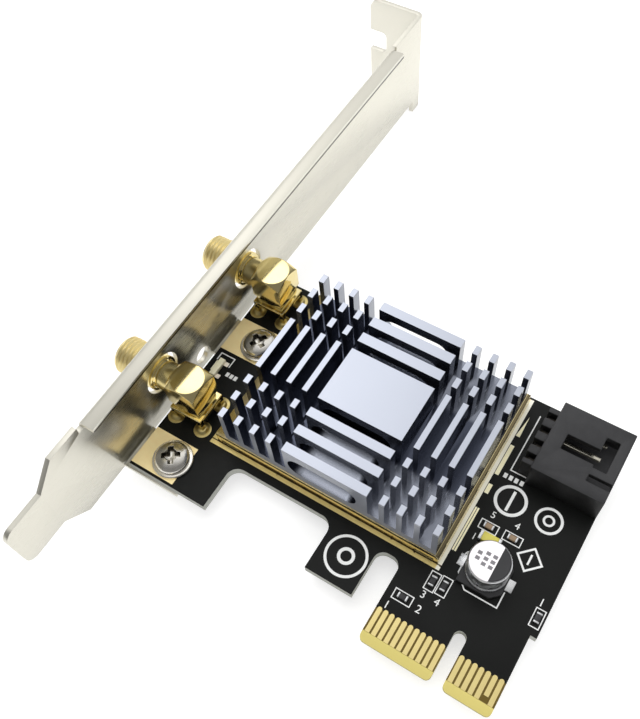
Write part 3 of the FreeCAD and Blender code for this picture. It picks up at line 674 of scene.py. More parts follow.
def capacitor_finish(middle, top):
    """Bare aluminium side, and a white printed top with a dark segment and three rows of plain marks."""
    f = Finish("capacitor_can")
    lid = f.z.over(top - 0.06, 0.02) * f.facing[2].over(0.7, 0.1)
    dark = f.x.over(middle.x + 0.95, 0.03)
    pitch = 0.85
    ink = 0.0
    for row, half in ((-1.75, pitch), (-0.65, 1.5 * pitch), (0.4, 1.5 * pitch)):
        line = f.x.within(middle.x + row, 0.33) * f.y.within(middle.y, half)
        mark = ((f.y - (middle.y - half - 10 * pitch)) % pitch).within(pitch / 2, 0.28, 0.02)
        ink = line * mark + ink
    white = f.mix(ink * 0.85, (0.95, 0.91, 0.93), (0.05, 0.05, 0.06))
    printed = f.mix(dark, white, (0.018, 0.018, 0.02))
    brushed = f.noise(2.0, stretch=(1, 1, 0.15))
    bare = f.mix(brushed, (0.70, 0.71, 0.73), (0.90, 0.91, 0.92))
    return f.done(f.mix(lid, bare, printed), 0.22 + 0.14 * brushed + 0.14 * lid, 1.0 - lid,
                  height=f.noise(5.0), depth=0.004)


def can_finish():
    """Tin with a painted reflection of the gold frame in its colour, painted shadow on its top beside the
    heatsink, and dark in the gaps along its foot.
    """
    f = Finish("tinned_steel")
    flow = f.noise(0.5)
    gaps = f.z.under(0.85, 0.1) * abs((f.x + 0.6) % 2.4 - 1.2).under(0.35, 0.05)
    # Painted shadow on the can's top beside the heatsink
    heatsink_shadow = f.x.over(SINK[1].x + 0.03, 0.03) * f.facing[2].over(0.5, 0.1)
    # Gold colour that is a painted reflection of the gold frame on the tin
    base = f.mix(flow, (0.86, 0.70, 0.36), (0.95, 0.82, 0.50))
    dark = f.mix((gaps * 0.8).most(heatsink_shadow * 0.85), base, (0.08, 0.06, 0.03))
    return f.done(dark, 0.12 + 0.1 * f.noise(1.3), 1.0, height=flow, depth=0.006)


def pin_finish():
    """Plated pins, with painted shade where they stand behind the housing."""
    f = Finish("pin_plating")
    base = f.mix(f.noise(1.3), (0.72, 0.67, 0.55), (0.88, 0.85, 0.74))
    # Painted shade, near black, on the pins behind the housing
    housing_shade = f.x.under(box_mm("data_header_housing")[0].x + 2.0, 0.2)
    return f.done(f.mix(housing_shade, base, (0.05, 0.045, 0.04)), 0.26 + 0.2 * housing_shade, 1.0)


# Operators, one for each piece or group of like pieces

class Dresser:
    """What every operator of the card shares."""

    bl_options = {"REGISTER", "UNDO"}

    def execute(self, context):
        self.build(context.scene)
        return {"FINISHED"}


class CARD_OT_board(Dresser, bpy.types.Operator):
    """Round the board's tongue at the key, add its contacts and finish what lies flat on it"""

    bl_idname = "card.board"
    bl_label = "Board and plating"

    KEY_HALF, CORNER = 0.95, 0.8
    FINGER_HALF, FINGER_PITCH = 0.35, 1.0
    LEFT_FINGERS, RIGHT_FINGERS = 11, 7
    SHORT_FINGER, SHORTER = 1, 0.9

    def key_corners(self):
        """What is cut off the tongue's two corners at the key notch."""
        edge, inner = self.KEY_HALF - 0.2, self.KEY_HALF + self.CORNER
        outline = [(-inner, -0.2), (-edge, -0.2), (-edge, self.CORNER)]
        outline += arc((-inner, self.CORNER), self.CORNER, 0, -90, 8)
        shape = bmesh.new()
        for side in (1, -1):
            prism(shape, [(x * side, y) for x, y in outline], -3, 1)
        return as_mesh(shape)

    def contacts(self):
        """Gold fingers with round upper ends, one of them shorter."""
        low, high = box_mm("edge_contacts_front")
        half, pitch = self.FINGER_HALF, self.FINGER_PITCH
        rows = [(low.x + half + i * pitch, low.y) for i in range(self.LEFT_FINGERS)]
        rows += [(high.x - half - i * pitch, low.y + (self.SHORTER if i == self.SHORT_FINGER else 0.0))
                 for i in range(self.RIGHT_FINGERS)]
        shape = bmesh.new()
        for x, start in rows:
            outline = [(x - half, start), (x + half, start)] + arc((x, high.y - half), half, 0, 180, 10)
            prism(shape, outline, low.z, high.z)
        return as_mesh(shape)

    def build(self, scene):
        colours = scene.card_colours
        board = carved(copied("circuit_board"), self.key_corners())
        piece("printed_board", board, board_finish(colours), ("circuit_board",))
        gold = plating_finish(colours, "contact_gold", 1.22)
        piece("contact_fingers", self.contacts(), gold, ("edge_contacts_front",))
        painted(gold, "edge_contacts_back")
        # The side strips' pale cream is a painted reflection of the bright surroundings on their gold
        painted(pale_finish("pale_gold", (0.92, 0.84, 0.50), (0.99, 0.96, 0.76), 0.25), "side_strips")
        painted(pale_finish("satin_gold", (0.94, 0.72, 0.34), (0.99, 0.85, 0.47), 0.4), "screw_pads")
        painted(strip_finish(colours), "ground_ring")
        painted(moulded_finish("chip_moulding", (0.014, 0.014, 0.015), (0.03, 0.03, 0.032), 0.45),
                "radio_chip", "amplifier_chips")
        painted(moulded_finish("soft_pad", (0.28, 0.29, 0.32), (0.42, 0.43, 0.47), 0.7),
                "inner_pad", "thermal_pad")
        painted(tin_finish("crystal_lid", (0.5, 0.49, 0.45), (0.75, 0.74, 0.7), 0.2), "crystal")


class CARD_OT_bracket(Dresser, bpy.types.Operator):
    """Round the sheared edges of the slot bracket"""

    bl_idname = "card.bracket"
    bl_label = "Slot bracket"

    def build(self, scene):
        rounded("slot_bracket", "bracket", InMillimetres(scene.card_small).sheet_edge,
                nickel_finish(scene.card_colours), angle=25)


class CARD_OT_screws(Dresser, bpy.types.Operator):
    """Add the two bracket screws with domed heads, cross recesses and washers"""

    bl_idname = "card.screws"
    bl_label = "Bracket screws"

    WASHER_THICK = 0.5
    SHANK, ROOT, PITCH = 1.5, 1.22, 0.5
    DOME_DROP = 0.896
    # Size of one arm of the cross recess, and how much of its width is left at its foot
    ARM, TAPER = (4.2, 1.25, 3.2), 0.55
    TURNS = (35, 62)

    def body(self, sizes, low, high):
        """Turned screw with its washer."""
        head, washer = sizes.screw_head, sizes.washer
        shank, root, step = self.SHANK, self.ROOT, self.PITCH / 4
        seat = high - sizes.screw_height - self.WASHER_THICK
        face = seat + self.WASHER_THICK
        profile = [(high - self.DOME_DROP * t * t, head * t) for t in (0.0, 0.2, 0.4, 0.6, 0.75, 0.86)]
        profile += [(high - 0.95, head * 0.96), (high - 1.2, head), (face + 0.02, head), (face, head - 0.08),
                    (face, washer - 0.12), (face - 0.12, washer), (seat + 0.1, washer), (seat, washer - 0.1),
                    (seat, shank)]
        z = seat
        while z > low + self.PITCH:
            profile += [(z - i * step, radius) for i, radius in enumerate((shank, root, root, shank), 1)]
            z -= self.PITCH
        profile += [(low + 0.1, 1.15), (low, 0.9), (low, 0.0)]
        return turned(profile, segments=48)

    def recess(self, high):
        """Cross that narrows downwards, with a round pit in its middle."""
        cross = bmesh.new()
        for angle in (0, 90):
            place = Matrix.Rotation(math.radians(angle), 4, "Z") @ Matrix.Translation((0, 0, high))
            arm = bmesh.ops.create_cube(cross, size=1.0, matrix=place @ Matrix.Diagonal((*self.ARM, 1.0)))
            for vert in arm["verts"]:
                if vert.co.z < high:
                    vert.co.x *= self.TAPER
                    vert.co.y *= self.TAPER
        pit = [(high - 1.5, 0.0), (high - 1.5, 0.6), (high + 0.5, 1.3), (high + 0.5, 0.0)]
        lathe(cross, pit, segments=24)
        return as_mesh(cross)

    def build(self, scene):
        sizes = InMillimetres(scene.card_small)
        low, high = box_mm("bracket_screws")
        body = worked(carved(self.body(sizes, low.z, high.z), self.recess(high.z)), bevel(0.04, angle=35))
        rows = (low.y + sizes.washer, high.y - sizes.washer)
        spots = [((low.x + high.x) / 2, y, 0, angle) for y, angle in zip(rows, self.TURNS)]
        set_out("bracket_screw_pair", body, spots, screw_finish(spots, high.z),
                ("bracket_screws",))


def jack_middle(name):
    """Middle of a jack's elbow."""
    low, high = box_mm("jack_" + name + "_contact")
    return Vector((high.x - JACK_PIN_HALF, (low.y + high.y) / 2, JACK_Z))


def corners_of(spot, reach):
    return [(spot.x + side * reach, spot.y + end * reach) for side in (-1, 1) for end in (-1, 1)]


class CARD_OT_jacks(Dresser, bpy.types.Operator):
    """Add the antenna jacks with their threads, elbows, centre pins and insulators"""

    bl_idname = "card.jacks"
    bl_label = "Antenna jacks"

    def front(self, sizes, spot):
        """Turned front: mouth, chamfer, thread, collar and neck."""
        radius, depth, pitch = sizes.thread_radius, sizes.thread_depth, sizes.thread_pitch
        bore = sizes.bore_radius
        tip, end = JACK_TIP, JACK_TIP + sizes.thread_end
        face = tip + sizes.bore_depth
        chamfer = radius - 0.42
        profile = [(face, 0.0), (face, bore), (tip + 0.25, bore), (tip, bore + 0.15), (tip, radius - 0.5),
                   (tip + 0.05, chamfer)]
        x = tip + 0.15
        while x < end:
            profile.append((x, min(radius, chamfer + (x - tip - 0.05) * 0.9)))
            x += pitch / 8
        collar, neck = sizes.collar_radius, sizes.neck_radius
        back, inside = end + sizes.collar_length, spot.x - sizes.elbow_half + 0.5
        profile += [(end, radius - depth), (end, collar - 0.1), (end + 0.1, collar), (back - 0.12, collar),
                    (back, collar - 0.12), (back, neck + 0.15), (back + 0.15, neck), (inside, neck),
                    (inside, 0.0)]

        def ripple(x, angle):
            """How far the thread's groove lies under its crest."""
            if not tip + 0.1 < x < end - 0.05:
                return 0.0
            wave = abs(((x - tip) / pitch - angle / math.tau) % 1.0 - 0.5) * 2
            flat_topped = min(1.0, max(0.0, (wave - 0.12) / 0.76))
            return depth * flat_topped * max(0.0, min(1.0, (x - tip) / 0.7, (end - x) / 0.4))

        return turned(profile, (0, spot.y, JACK_Z), "X", 72, ripple)

    def elbow(self, sizes, spot):
        """Square post turned at both ends about the vertical, so that each of its sides ends in an arc."""
        half, low, high = sizes.elbow_half, sizes.elbow_low, sizes.elbow_top
        shape = bmesh.new()
        post(shape, spot.x, spot.y, half, low - 1, high + 1)
        slant = [(0.0, sizes.flat_radius), (sizes.corner_drop, half * math.sqrt(2) + 0.1)]
        profile = [(low, 0.0)] + [(low + drop, radius) for drop, radius in slant]
        profile += [(high - drop, radius) for drop, radius in reversed(slant)] + [(high, 0.0)]
        drum = turned(profile, (spot.x, spot.y, 0), segments=96)
        return worked(carved(as_mesh(shape), drum, "INTERSECT"), bevel(0.09, 3, 20))

    def foot(self, sizes, spot):
        """Stub, square base plate and four legs."""
        shape = bmesh.new()
        seat = sizes.base_top - 0.1
        post(shape, spot.x, spot.y, sizes.neck_radius, seat, sizes.elbow_low + 0.2)
        post(shape, spot.x, spot.y, sizes.base_half, sizes.base_low, sizes.base_top)
        for x, y in corners_of(spot, sizes.leg_reach):
            post(shape, x, y, sizes.leg_half, LEG_TIP, seat)
        return worked(as_mesh(shape), bevel(0.1, 3))

    def pin(self, spot, low):
        """Pointed centre pin and its leg down through the board."""
        thick, tip, end = JACK_PIN_HALF, low.x, low.z
        shape = bmesh.new()
        lathe(shape, [(tip, 0.0), (tip + 0.02, 0.2), (tip + 0.14, 0.38), (tip + 0.3, thick), (spot.x, thick),
                      (spot.x, 0.0)], (0, spot.y, JACK_Z), "X", 32)
        lathe(shape, [(end, 0.0), (end, 0.4), (end + 0.1, thick), (JACK_Z, thick), (JACK_Z + 0.1, 0.0)],
              (spot.x, spot.y, 0), "Z", 32)
        return as_mesh(shape)

    def build(self, scene):
        sizes = InMillimetres(scene.card_jacks)
        gold = jack_finish(scene.card_colours, JACK_TIP + sizes.thread_end)
        white = moulded_finish("white_insulator", (0.70, 0.70, 0.67), (0.84, 0.84, 0.81), 0.35)
        for name in JACK_NAMES:
            node, spot = "jack_" + name, jack_middle(name)
            body = joined(self.front(sizes, spot), self.elbow(sizes, spot), self.foot(sizes, spot))
            piece(node, body, gold, (node + "_body",))
            painted(white, node + "_insulator")
            pin = self.pin(spot, box_mm(node + "_contact")[0])
            piece(node + "_pin", pin, gold, (node + "_contact",))


def leg_spots(reach):
    """Every outer leg of the jacks, at the middle of where it meets the board."""
    return [(x, y, 0.0) for name in JACK_NAMES for x, y in corners_of(jack_middle(name), reach)]


def header_spots():
    """Every header pin, where it meets the board."""
    low, high = box_mm("data_header_pins")
    half, pitch = HEADER_PIN_WIDTH / 2, (high.y - low.y - HEADER_PIN_WIDTH) / (HEADER_PINS - 1)
    return [(low.x + half, low.y + half + i * pitch, 0.0) for i in range(HEADER_PINS)]


class CARD_OT_lands(Dresser, bpy.types.Operator):
    """Add the gold lands on both faces and the solder on the back"""

    bl_idname = "card.lands"
    bl_label = "Lands and solder"

    BACK_RADIUS = 1.22
    DROOP = 0.15
    # Drop under the board's back and radius, from the rim of a solder cone to its tip
    CONE = ((0.0, 1.12), (0.06, 1.08), (0.14, 0.9), (0.24, 0.72), (0.36, 0.58), (0.44, 0.5), (0.48, 0.38),
            (0.5, 0.2), (0.5, 0.0))

    def build(self, scene):
        radius, wide, back = InMillimetres(scene.card_small).land, self.BACK_RADIUS, BOARD_BACK
        gold = plating_finish(scene.card_colours)
        front = turned([(-0.02, 0.0), (-0.02, radius), (0.03, radius), (0.05, radius - 0.05), (0.06, 0.98),
                        (0.16, 0.86), (0.38, 0.68), (0.42, 0.6), (0.42, 0.0)], segments=40)
        corners = leg_spots(InMillimetres(scene.card_jacks).leg_reach)
        set_out("jack_lands", front, [(x, y - self.DROOP, z) for x, y, z in corners], gold)
        disc = turned([(back + 0.02, 0.0), (back + 0.02, wide), (back - 0.03, wide),
                       (back - 0.05, wide - 0.07), (back - 0.05, 0.0)], segments=40)
        spots = corners + [jack_middle(name) * Vector((1, 1, 0)) for name in JACK_NAMES] + header_spots()
        set_out("back_lands", disc, spots, gold)
        tin = tin_finish("bright_solder", (0.60, 0.61, 0.63), (0.85, 0.86, 0.87), 0.14, 0.03)
        cone = turned([(back, 0.0)] + [(back - drop, radius) for drop, radius in self.CONE], segments=32)
        set_out("solder_fillets", cone, spots, tin, ("solder_joints",))


def ribbon(shape, points, width, closed=False):
    """Flat printed line of even width along the points."""
    count = len(points)
    sides = []
    for i in range(count):
        here = Vector(points[i])
        before = Vector(points[(i - 1) % count]) if closed or i > 0 else None
        after = Vector(points[(i + 1) % count]) if closed or i < count - 1 else None
        into = (here - before).normalized() if before is not None else (after - here).normalized()
        out = (after - here).normalized() if after is not None else into
        normal = Vector((-into.y - out.y, into.x + out.x)).normalized()
        reach = width / 2 / max(0.4, normal.dot(Vector((-into.y, into.x))))
        start = -out * width / 2 if before is None else into * width / 2 if after is None else Vector((0, 0))
        sides.append((here + start + normal * reach, here + start - normal * reach))
    low, high = PRINT_LEVELS
    rings = [[shape.verts.new((p.x, p.y, z)) for p, z in ((a, low), (a, high), (b, high), (b, low))]
             for a, b in sides]
    pairs = list(zip(rings, rings[1:])) + ([(rings[-1], rings[0])] if closed else [])
    for first, second in pairs:
        for i in range(4):
            j = (i + 1) % 4
            shape.faces.new((first[i], first[j], second[j], second[i]))
    if not closed:
        shape.faces.new(rings[0])
        shape.faces.new(list(reversed(rings[-1])))


class CARD_OT_print(Dresser, bpy.types.Operator):
    """Add the white printed lines, rings and plain figures"""

    bl_idname = "card.print"
    bl_label = "White print"

    # Middle, radius, line width and number of points
    RINGS = ((-19.65, 9.22, 3.1, 0.42, 48), (-2.8, 29.15, 2.3, 0.5, 48), (3.4, 29.1, 1.95, 0.42, 48),
             (-19.65, 9.22, 1.1, 0.5, 24), (3.4, 29.1, 0.75, 0.35, 24))
    # Line width, and the points that the line goes through
    STROKES = ((0.45, (-2.8, 27.6), (-2.8, 30.6)), (0.3, (3.5, 21.6), (3.5, 23.0)))
    DIAMOND = ((3.5, 20.4), (5.4, 22.3), (3.5, 24.2), (1.6, 22.3))
    OUTLINES = (((-5.0, 44.3), (-5.0, 33.7), (-2.5, 33.7)),
                ((-56.1, 27.4), (-56.1, 28.75), (-53.4, 28.75), (-53.4, 27.0)),
                ((-4.5, 18.9), (-4.5, 15.5), (-2.6, 13.6), (2.5, 13.6), (2.5, 16.1)))
    # Middle and size of the frames round the chip parts
    FRAMES = ((-9.55, 8.15, 2.9, 1.55), (-7.0, 12.35, 1.5, 2.9), (-5.25, 12.5, 1.5, 2.9),
              (8.0, 15.2, 1.45, 2.8), (-3.8, 23.8, 2.8, 1.5), (0.0, 23.9, 2.8, 1.5))
    BLOCKS = [(-52.8 + 0.8 * i, 25.7) for i in range(3)] + [(-5.3 + 0.9 * i, 32.5) for i in range(4)]
    # Figure, middle and height
    FIGURES = (("1", -11.0, 6.2, 1.25), ("2", -6.8, 7.9, 1.25), ("3", -7.25, 10.1, 1.2),
               ("4", -5.05, 10.1, 1.2), ("1", 7.6, 17.6, 1.25), ("5", -4.0, 25.9, 1.15),
               ("4", -0.2, 26.1, 1.15), ("1", -5.0, 21.5, 1.15), ("6", -4.6, 18.6, 1.15))

    def figure(self, words, x, y, size):
        text = bpy.data.curves.new("figure", "FONT")
        text.body = words
        text.size = size * 1.35 * MM
        text.extrude = 0.014 * MM
        text.align_x = "CENTER"
        holder = linked("figure", text)
        mesh = evaluated(holder)
        mesh.transform(Matrix.Translation((x * MM, (y - size / 2) * MM, 0.005 * MM)))
        bpy.data.objects.remove(holder)
        return mesh

    def build(self, scene):
        width = InMillimetres(scene.card_small).print_line
        shape = bmesh.new()
        for x, y, radius, line, points in self.RINGS:
            ribbon(shape, arc((x, y), radius, 0, 360 - 360 / points, points - 1), line, closed=True)
        for line, *points in self.STROKES:
            ribbon(shape, points, line)
        ribbon(shape, self.DIAMOND, 0.3, closed=True)
        for points in self.OUTLINES:
            ribbon(shape, points, width)
        for x, y, across, along in self.FRAMES:
            a, b = across / 2, along / 2
            corners = [(x - a, y - b), (x + a, y - b), (x + a, y + b), (x - a, y + b)]
            ribbon(shape, corners, width * 0.75, closed=True)
        for x, y in self.BLOCKS:
            ribbon(shape, [(x, y - 0.12), (x, y + 0.12)], 0.58)
        white = scene.card_colours.printing
        ink = moulded_finish("white_ink", [c * 0.8 for c in white], white, 0.5, 0.004)
        figures = [self.figure(*figure) for figure in self.FIGURES]
        piece("printed_lines", joined(as_mesh(shape), *figures), ink)


class CARD_OT_can(Dresser, bpy.types.Operator):
    """Round the edges of the shield can"""

    bl_idname = "card.can"
    bl_label = "Shield can"

    def build(self, scene):
        rounded("can_shell", "shield_can", 0.1, can_finish())


class CARD_OT_heatsink(Dresser, bpy.types.Operator):
    """Grow the heatsink's fins, ridges and centre block from its spacing"""

    bl_idname = "card.heatsink"
    bl_label = "Heatsink"

    BARS = ("Fin Width", "Fin Gap", "Ridge Width", "Ridge Gap", "Back Width", "Back Gap", "Base")
    COUNTS = ("Fins", "Ridges")
    REACHES = ("Length X", "Length Y", "Height", "Slot Left", "Slot Right", "Slot Roof", "Bevel Turn")
    # What the chamfer on the upper back edge takes off, down and forwards
    CHAMFER = (0.5 * MM, 0.15 * MM)
    # How deep the bars stand in the plate, and how far the cutters reach past the metal
    SUNK, PAST = 0.2 * MM, 2 * MM

    def tree(self, material):
        kinds = dict.fromkeys(self.BARS + self.REACHES, "NodeSocketFloat")
        kinds.update(dict.fromkeys(self.COUNTS, "NodeSocketInt"))
        kinds["Bevel Place"] = "NodeSocketVector"
        p = Pattern("cross_cut_heatsink", kinds)
        (fin, fin_gap, ridge, ridge_gap, back, back_gap, base, span_x, span_y, height, left, right, roof,
         slant, fins, ridges, edge) = [p.size(label) for label in kinds]

        def join(operation, sockets):
            return p.node("GeometryNodeMeshBoolean", {"operation": operation, "solver": "EXACT"}, sockets)

        def moved(shape, place, turn=(0, 0, 0)):
            return p.node("GeometryNodeTransform", {}, {
                "Geometry": shape, "Translation": place, "Rotation": turn})

        def cuboid(x, y, z):
            return p.node("GeometryNodeMeshCube", {}, {"Size": p.vector(x, y, z)})

        def spread(step, total, bars, low, high):
            """Centre and width of the step-th bar from the middle block, low and high being width and gap."""
            outer, after = abs(step).over(0.5, 0.1), step.over(0.5, 0.1)
            width = low[0] + (high[0] - low[0]) * after
            first, last = ((pair[0] + pair[1]) * bars for pair in (low, high))
            inner = (bars - abs(step)) * (width + low[1] + (high[1] - low[1]) * after)
            centre = step.sign() * (total / 2 - inner - width / 2)
            return (centre * outer + (1 - outer) * (first - last) / 2,
                    width * outer + (1 - outer) * (total - first - last))

        rows = 2 * ridges + 1
        grid = p.node("GeometryNodeMeshGrid", {}, {"Vertices X": 2 * fins + 1, "Vertices Y": rows})
        index = p.node("GeometryNodeInputIndex")
        x, across = spread(index // rows - fins, span_x, fins, (fin, fin_gap), (fin, fin_gap))
        y, along = spread(index % rows - ridges, span_y, ridges, (ridge, ridge_gap), (back, back_gap))
        low = base - self.SUNK
        tall = height - low
        spots = p.node("GeometryNodeSetPosition", {}, {
            "Geometry": grid, "Position": p.vector(x, y, low + tall / 2)})
        cube = p.node("GeometryNodeMeshCube", {}, {"Size": (1, 1, 1)})
        bars = p.node("GeometryNodeInstanceOnPoints", {}, {
            "Points": spots, "Instance": cube, "Scale": p.vector(across, along, tall)})
        bars = p.node("GeometryNodeRealizeInstances", {}, {0: bars})
        plate = moved(cuboid(span_x, span_y, base), p.vector(0.0, 0.0, base / 2))
        metal = join("UNION", {"Mesh 2": [plate, bars]})
        radius = (roof - base) / 2
        level = base + radius
        start, end = left + radius, right - radius
        deep = span_y + self.PAST
        slot = [moved(cuboid(end - start, deep, radius * 2), p.vector((start + end) / 2, 0.0, level))]
        for place in (start, end):
            drum = p.node("GeometryNodeMeshCylinder", {}, {
                "Vertices": 48, "Radius": radius, "Depth": deep}, "Mesh")
            slot.append(moved(drum, p.vector(place, 0.0, level), (math.pi / 2, 0, 0)))
        turn = p.node("FunctionNodeEulerToRotation", {}, {0: p.vector(slant, 0.0, 0.0)})
        wedge = moved(cuboid(span_x + self.PAST, self.PAST, 2 * self.PAST), edge, turn)
        window = join("UNION", {"Mesh 2": slot})
        p.end(join("DIFFERENCE", {"Mesh 1": metal, "Mesh 2": [window, wedge]}), material)
        return p

    def build(self, scene):
        group = scene.card_heatsink
        material = sink_finish(scene.card_colours)
        low, high = SINK
        size = (high - low) * MM
        shoulder = group.fins * (group.fin_width + group.fin_gap)
        drop, reach = self.CHAMFER
        turn = math.atan2(reach, drop)
        edge = Vector((0, size.y / 2 - reach / 2, size.z - drop / 2))
        values = {label: getattr(group, label.lower().replace(" ", "_")) for label in self.BARS + self.COUNTS}
        values.update({
            "Length X": size.x, "Length Y": size.y, "Height": size.z,
            "Slot Left": -size.x / 2 + shoulder + group.slot_wall_left,
            "Slot Right": size.x / 2 - shoulder - group.slot_wall_right,
            "Slot Roof": size.z - group.slot_roof,
            "Bevel Place": edge + Vector((0, math.cos(turn), math.sin(turn))) * MM,
            "Bevel Turn": turn})
        mesh = self.tree(material).grow(bpy.data.meshes.new("start"), values)
        mesh.transform(Matrix.Translation(((low.x + high.x) / 2 * MM, (low.y + high.y) / 2 * MM, low.z * MM)))
        # The cuts leave very short edges, and the bevel narrows to fit the shortest of them
        mesh = worked(mesh, ("WELD", {"merge_threshold": 1e-6}), bevel(group.edge / MM))
        piece("cross_cut_heatsink", mesh, material, ("heatsink",))


class CARD_OT_header(Dresser, bpy.types.Operator):
    """Round the edges of the data header and finish its pins"""

    bl_idname = "card.header"
    bl_label = "Data header"

    def build(self, scene):
        rounded("header_housing", "data_header_housing", InMillimetres(scene.card_small).housing_edge,
                plastic_finish("black_moulding", scene.card_colours))
        rounded("header_pins", "data_header_pins", 0.08, pin_finish())


class CARD_OT_capacitor(Dresser, bpy.types.Operator):
    """Add the round capacitor with its crimp, printed lid, foot and terminals"""

    bl_idname = "card.capacitor"
    bl_label = "Capacitor"

    # Height over the foot, and how far inside the can's side the wall stands there
    CRIMP = ((0.0, 0.45), (0.1, 0.32), (0.35, 0.1), (0.55, 0.0), (0.85, 0.0), (0.98, 0.06), (1.1, 0.26),
             (1.2, 0.34), (1.3, 0.26), (1.42, 0.06), (1.55, 0.0))
    # The same from the top downwards
    LID = ((0.42, 0.0), (0.22, 0.05), (0.08, 0.17), (0.01, 0.32), (0.0, 0.42), (0.02, 0.5), (0.03, 0.56))

    def build(self, scene):
        low, high = box_mm("capacitor_can")
        middle, radius, top = (low + high) / 2, (high.x - low.x) / 2, high.z
        profile = [(low.z, 0.0)] + [(low.z + up, radius - inset) for up, inset in self.CRIMP]
        profile += [(top - down, radius - inset) for down, inset in self.LID] + [(top - 0.03, 0.0)]
        can = turned(profile, (middle.x, middle.y, 0), segments=72)
        sleeve = capacitor_finish(middle, top)
        piece("capacitor", can, sleeve, ("capacitor_can",), smooth=50)
        black = plastic_finish("capacitor_foot", scene.card_colours)
        rounded("capacitor_foot", "capacitor_base", 0.12, black)
        rounded("capacitor_leads", "capacitor_terminals", 0.05,
                tin_finish("terminal_tin", (0.66, 0.67, 0.68), (0.9, 0.9, 0.9), 0.2))


class CARD_OT_chips(Dresser, bpy.types.Operator):
    """Set out the small chip parts with their tinned ends"""

    bl_idname = "card.chips"
    bl_label = "Chip parts"

    # Place and turn of each part
    RESISTORS = ((-9.55, 8.15, 0, 0), (-7.0, 12.35, 0, 90), (-5.25, 12.5, 0, 90), (8.0, 15.2, 0, 90))
    CAPACITORS = ((-3.8, 23.8, 0, 0), (0.0, 23.9, 0, 0))
    # Length and width, then underside and top of a body, or length of a tinned end and height
    BODY = (0.98, 0.8, 0.05, 0.5)
    SMALL_ENDS = (1.6, 0.85, 0.32, 0.5)
    FUSE_ENDS = (3.4, 1.5, 0.5, 0.75)

    def bar(self, length, width, low, high):
        shape = bmesh.new()
        block(shape, (-length / 2, -width / 2, low), (length / 2, width / 2, high))
        return worked(as_mesh(shape), bevel(0.05))

    def ends(self, length, width, cap, high):
        shape = bmesh.new()
        for side in (-1, 1):
            a, b = sorted((side * length / 2, side * (length / 2 - cap)))
            block(shape, (a, -width / 2, 0), (b, width / 2, high))
        return worked(as_mesh(shape), bevel(0.07, 3))

    def build(self, scene):
        chip = moulded_finish("resistor_glaze", (0.012, 0.012, 0.013), (0.03, 0.03, 0.033), 0.32)
        clay = moulded_finish("capacitor_ceramic", (0.22, 0.15, 0.09), (0.36, 0.26, 0.17), 0.5)
        tin = tin_finish("tinned_ends", (0.60, 0.61, 0.62), (0.86, 0.87, 0.88), 0.2, 0.02)
        set_out("resistor_bodies", self.bar(*self.BODY), self.RESISTORS, chip,
                ("chip_resistors",))
        set_out("ceramic_bodies", self.bar(*self.BODY), self.CAPACITORS, clay,
                ("chip_capacitors",))
        low, high = box_mm("power_fuse")
        middle = (low + high) / 2
        small = repeated(self.ends(*self.SMALL_ENDS), self.RESISTORS + self.CAPACITORS, tin)
        large = repeated(self.ends(*self.FUSE_ENDS), [(middle.x, middle.y, 0)], tin)
        piece("tinned_chip_ends", joined(small, large), tin, ("chip_end_caps",))
        yellow = moulded_finish("fuse_resin", (0.52, 0.45, 0.06), (0.74, 0.67, 0.14), 0.3)
        body = self.bar(high.x - low.x + 0.02, high.y - low.y - 0.06, low.z, high.z)
        body.transform(Matrix.Translation((middle.x * MM, middle.y * MM, 0)))
        piece("fuse_body", body, yellow, ("power_fuse",))


class CARD_OT_indicator(Dresser, bpy.types.Operator):
    """Round the indicator and its terminals"""

    bl_idname = "card.indicator"
    bl_label = "Indicator"

    def build(self, scene):
        resin = moulded_finish("cream_resin", (0.86, 0.81, 0.55), (0.97, 0.94, 0.72), 0.25, coat_weight=0.5)
        rounded("indicator_body", "indicator_led", 0.07, resin)
        pale = pale_finish("pale_terminal", (0.86, 0.78, 0.66), (0.97, 0.90, 0.80), 0.3)
        rounded("indicator_terminals", "led_terminals", 0.04, pale)


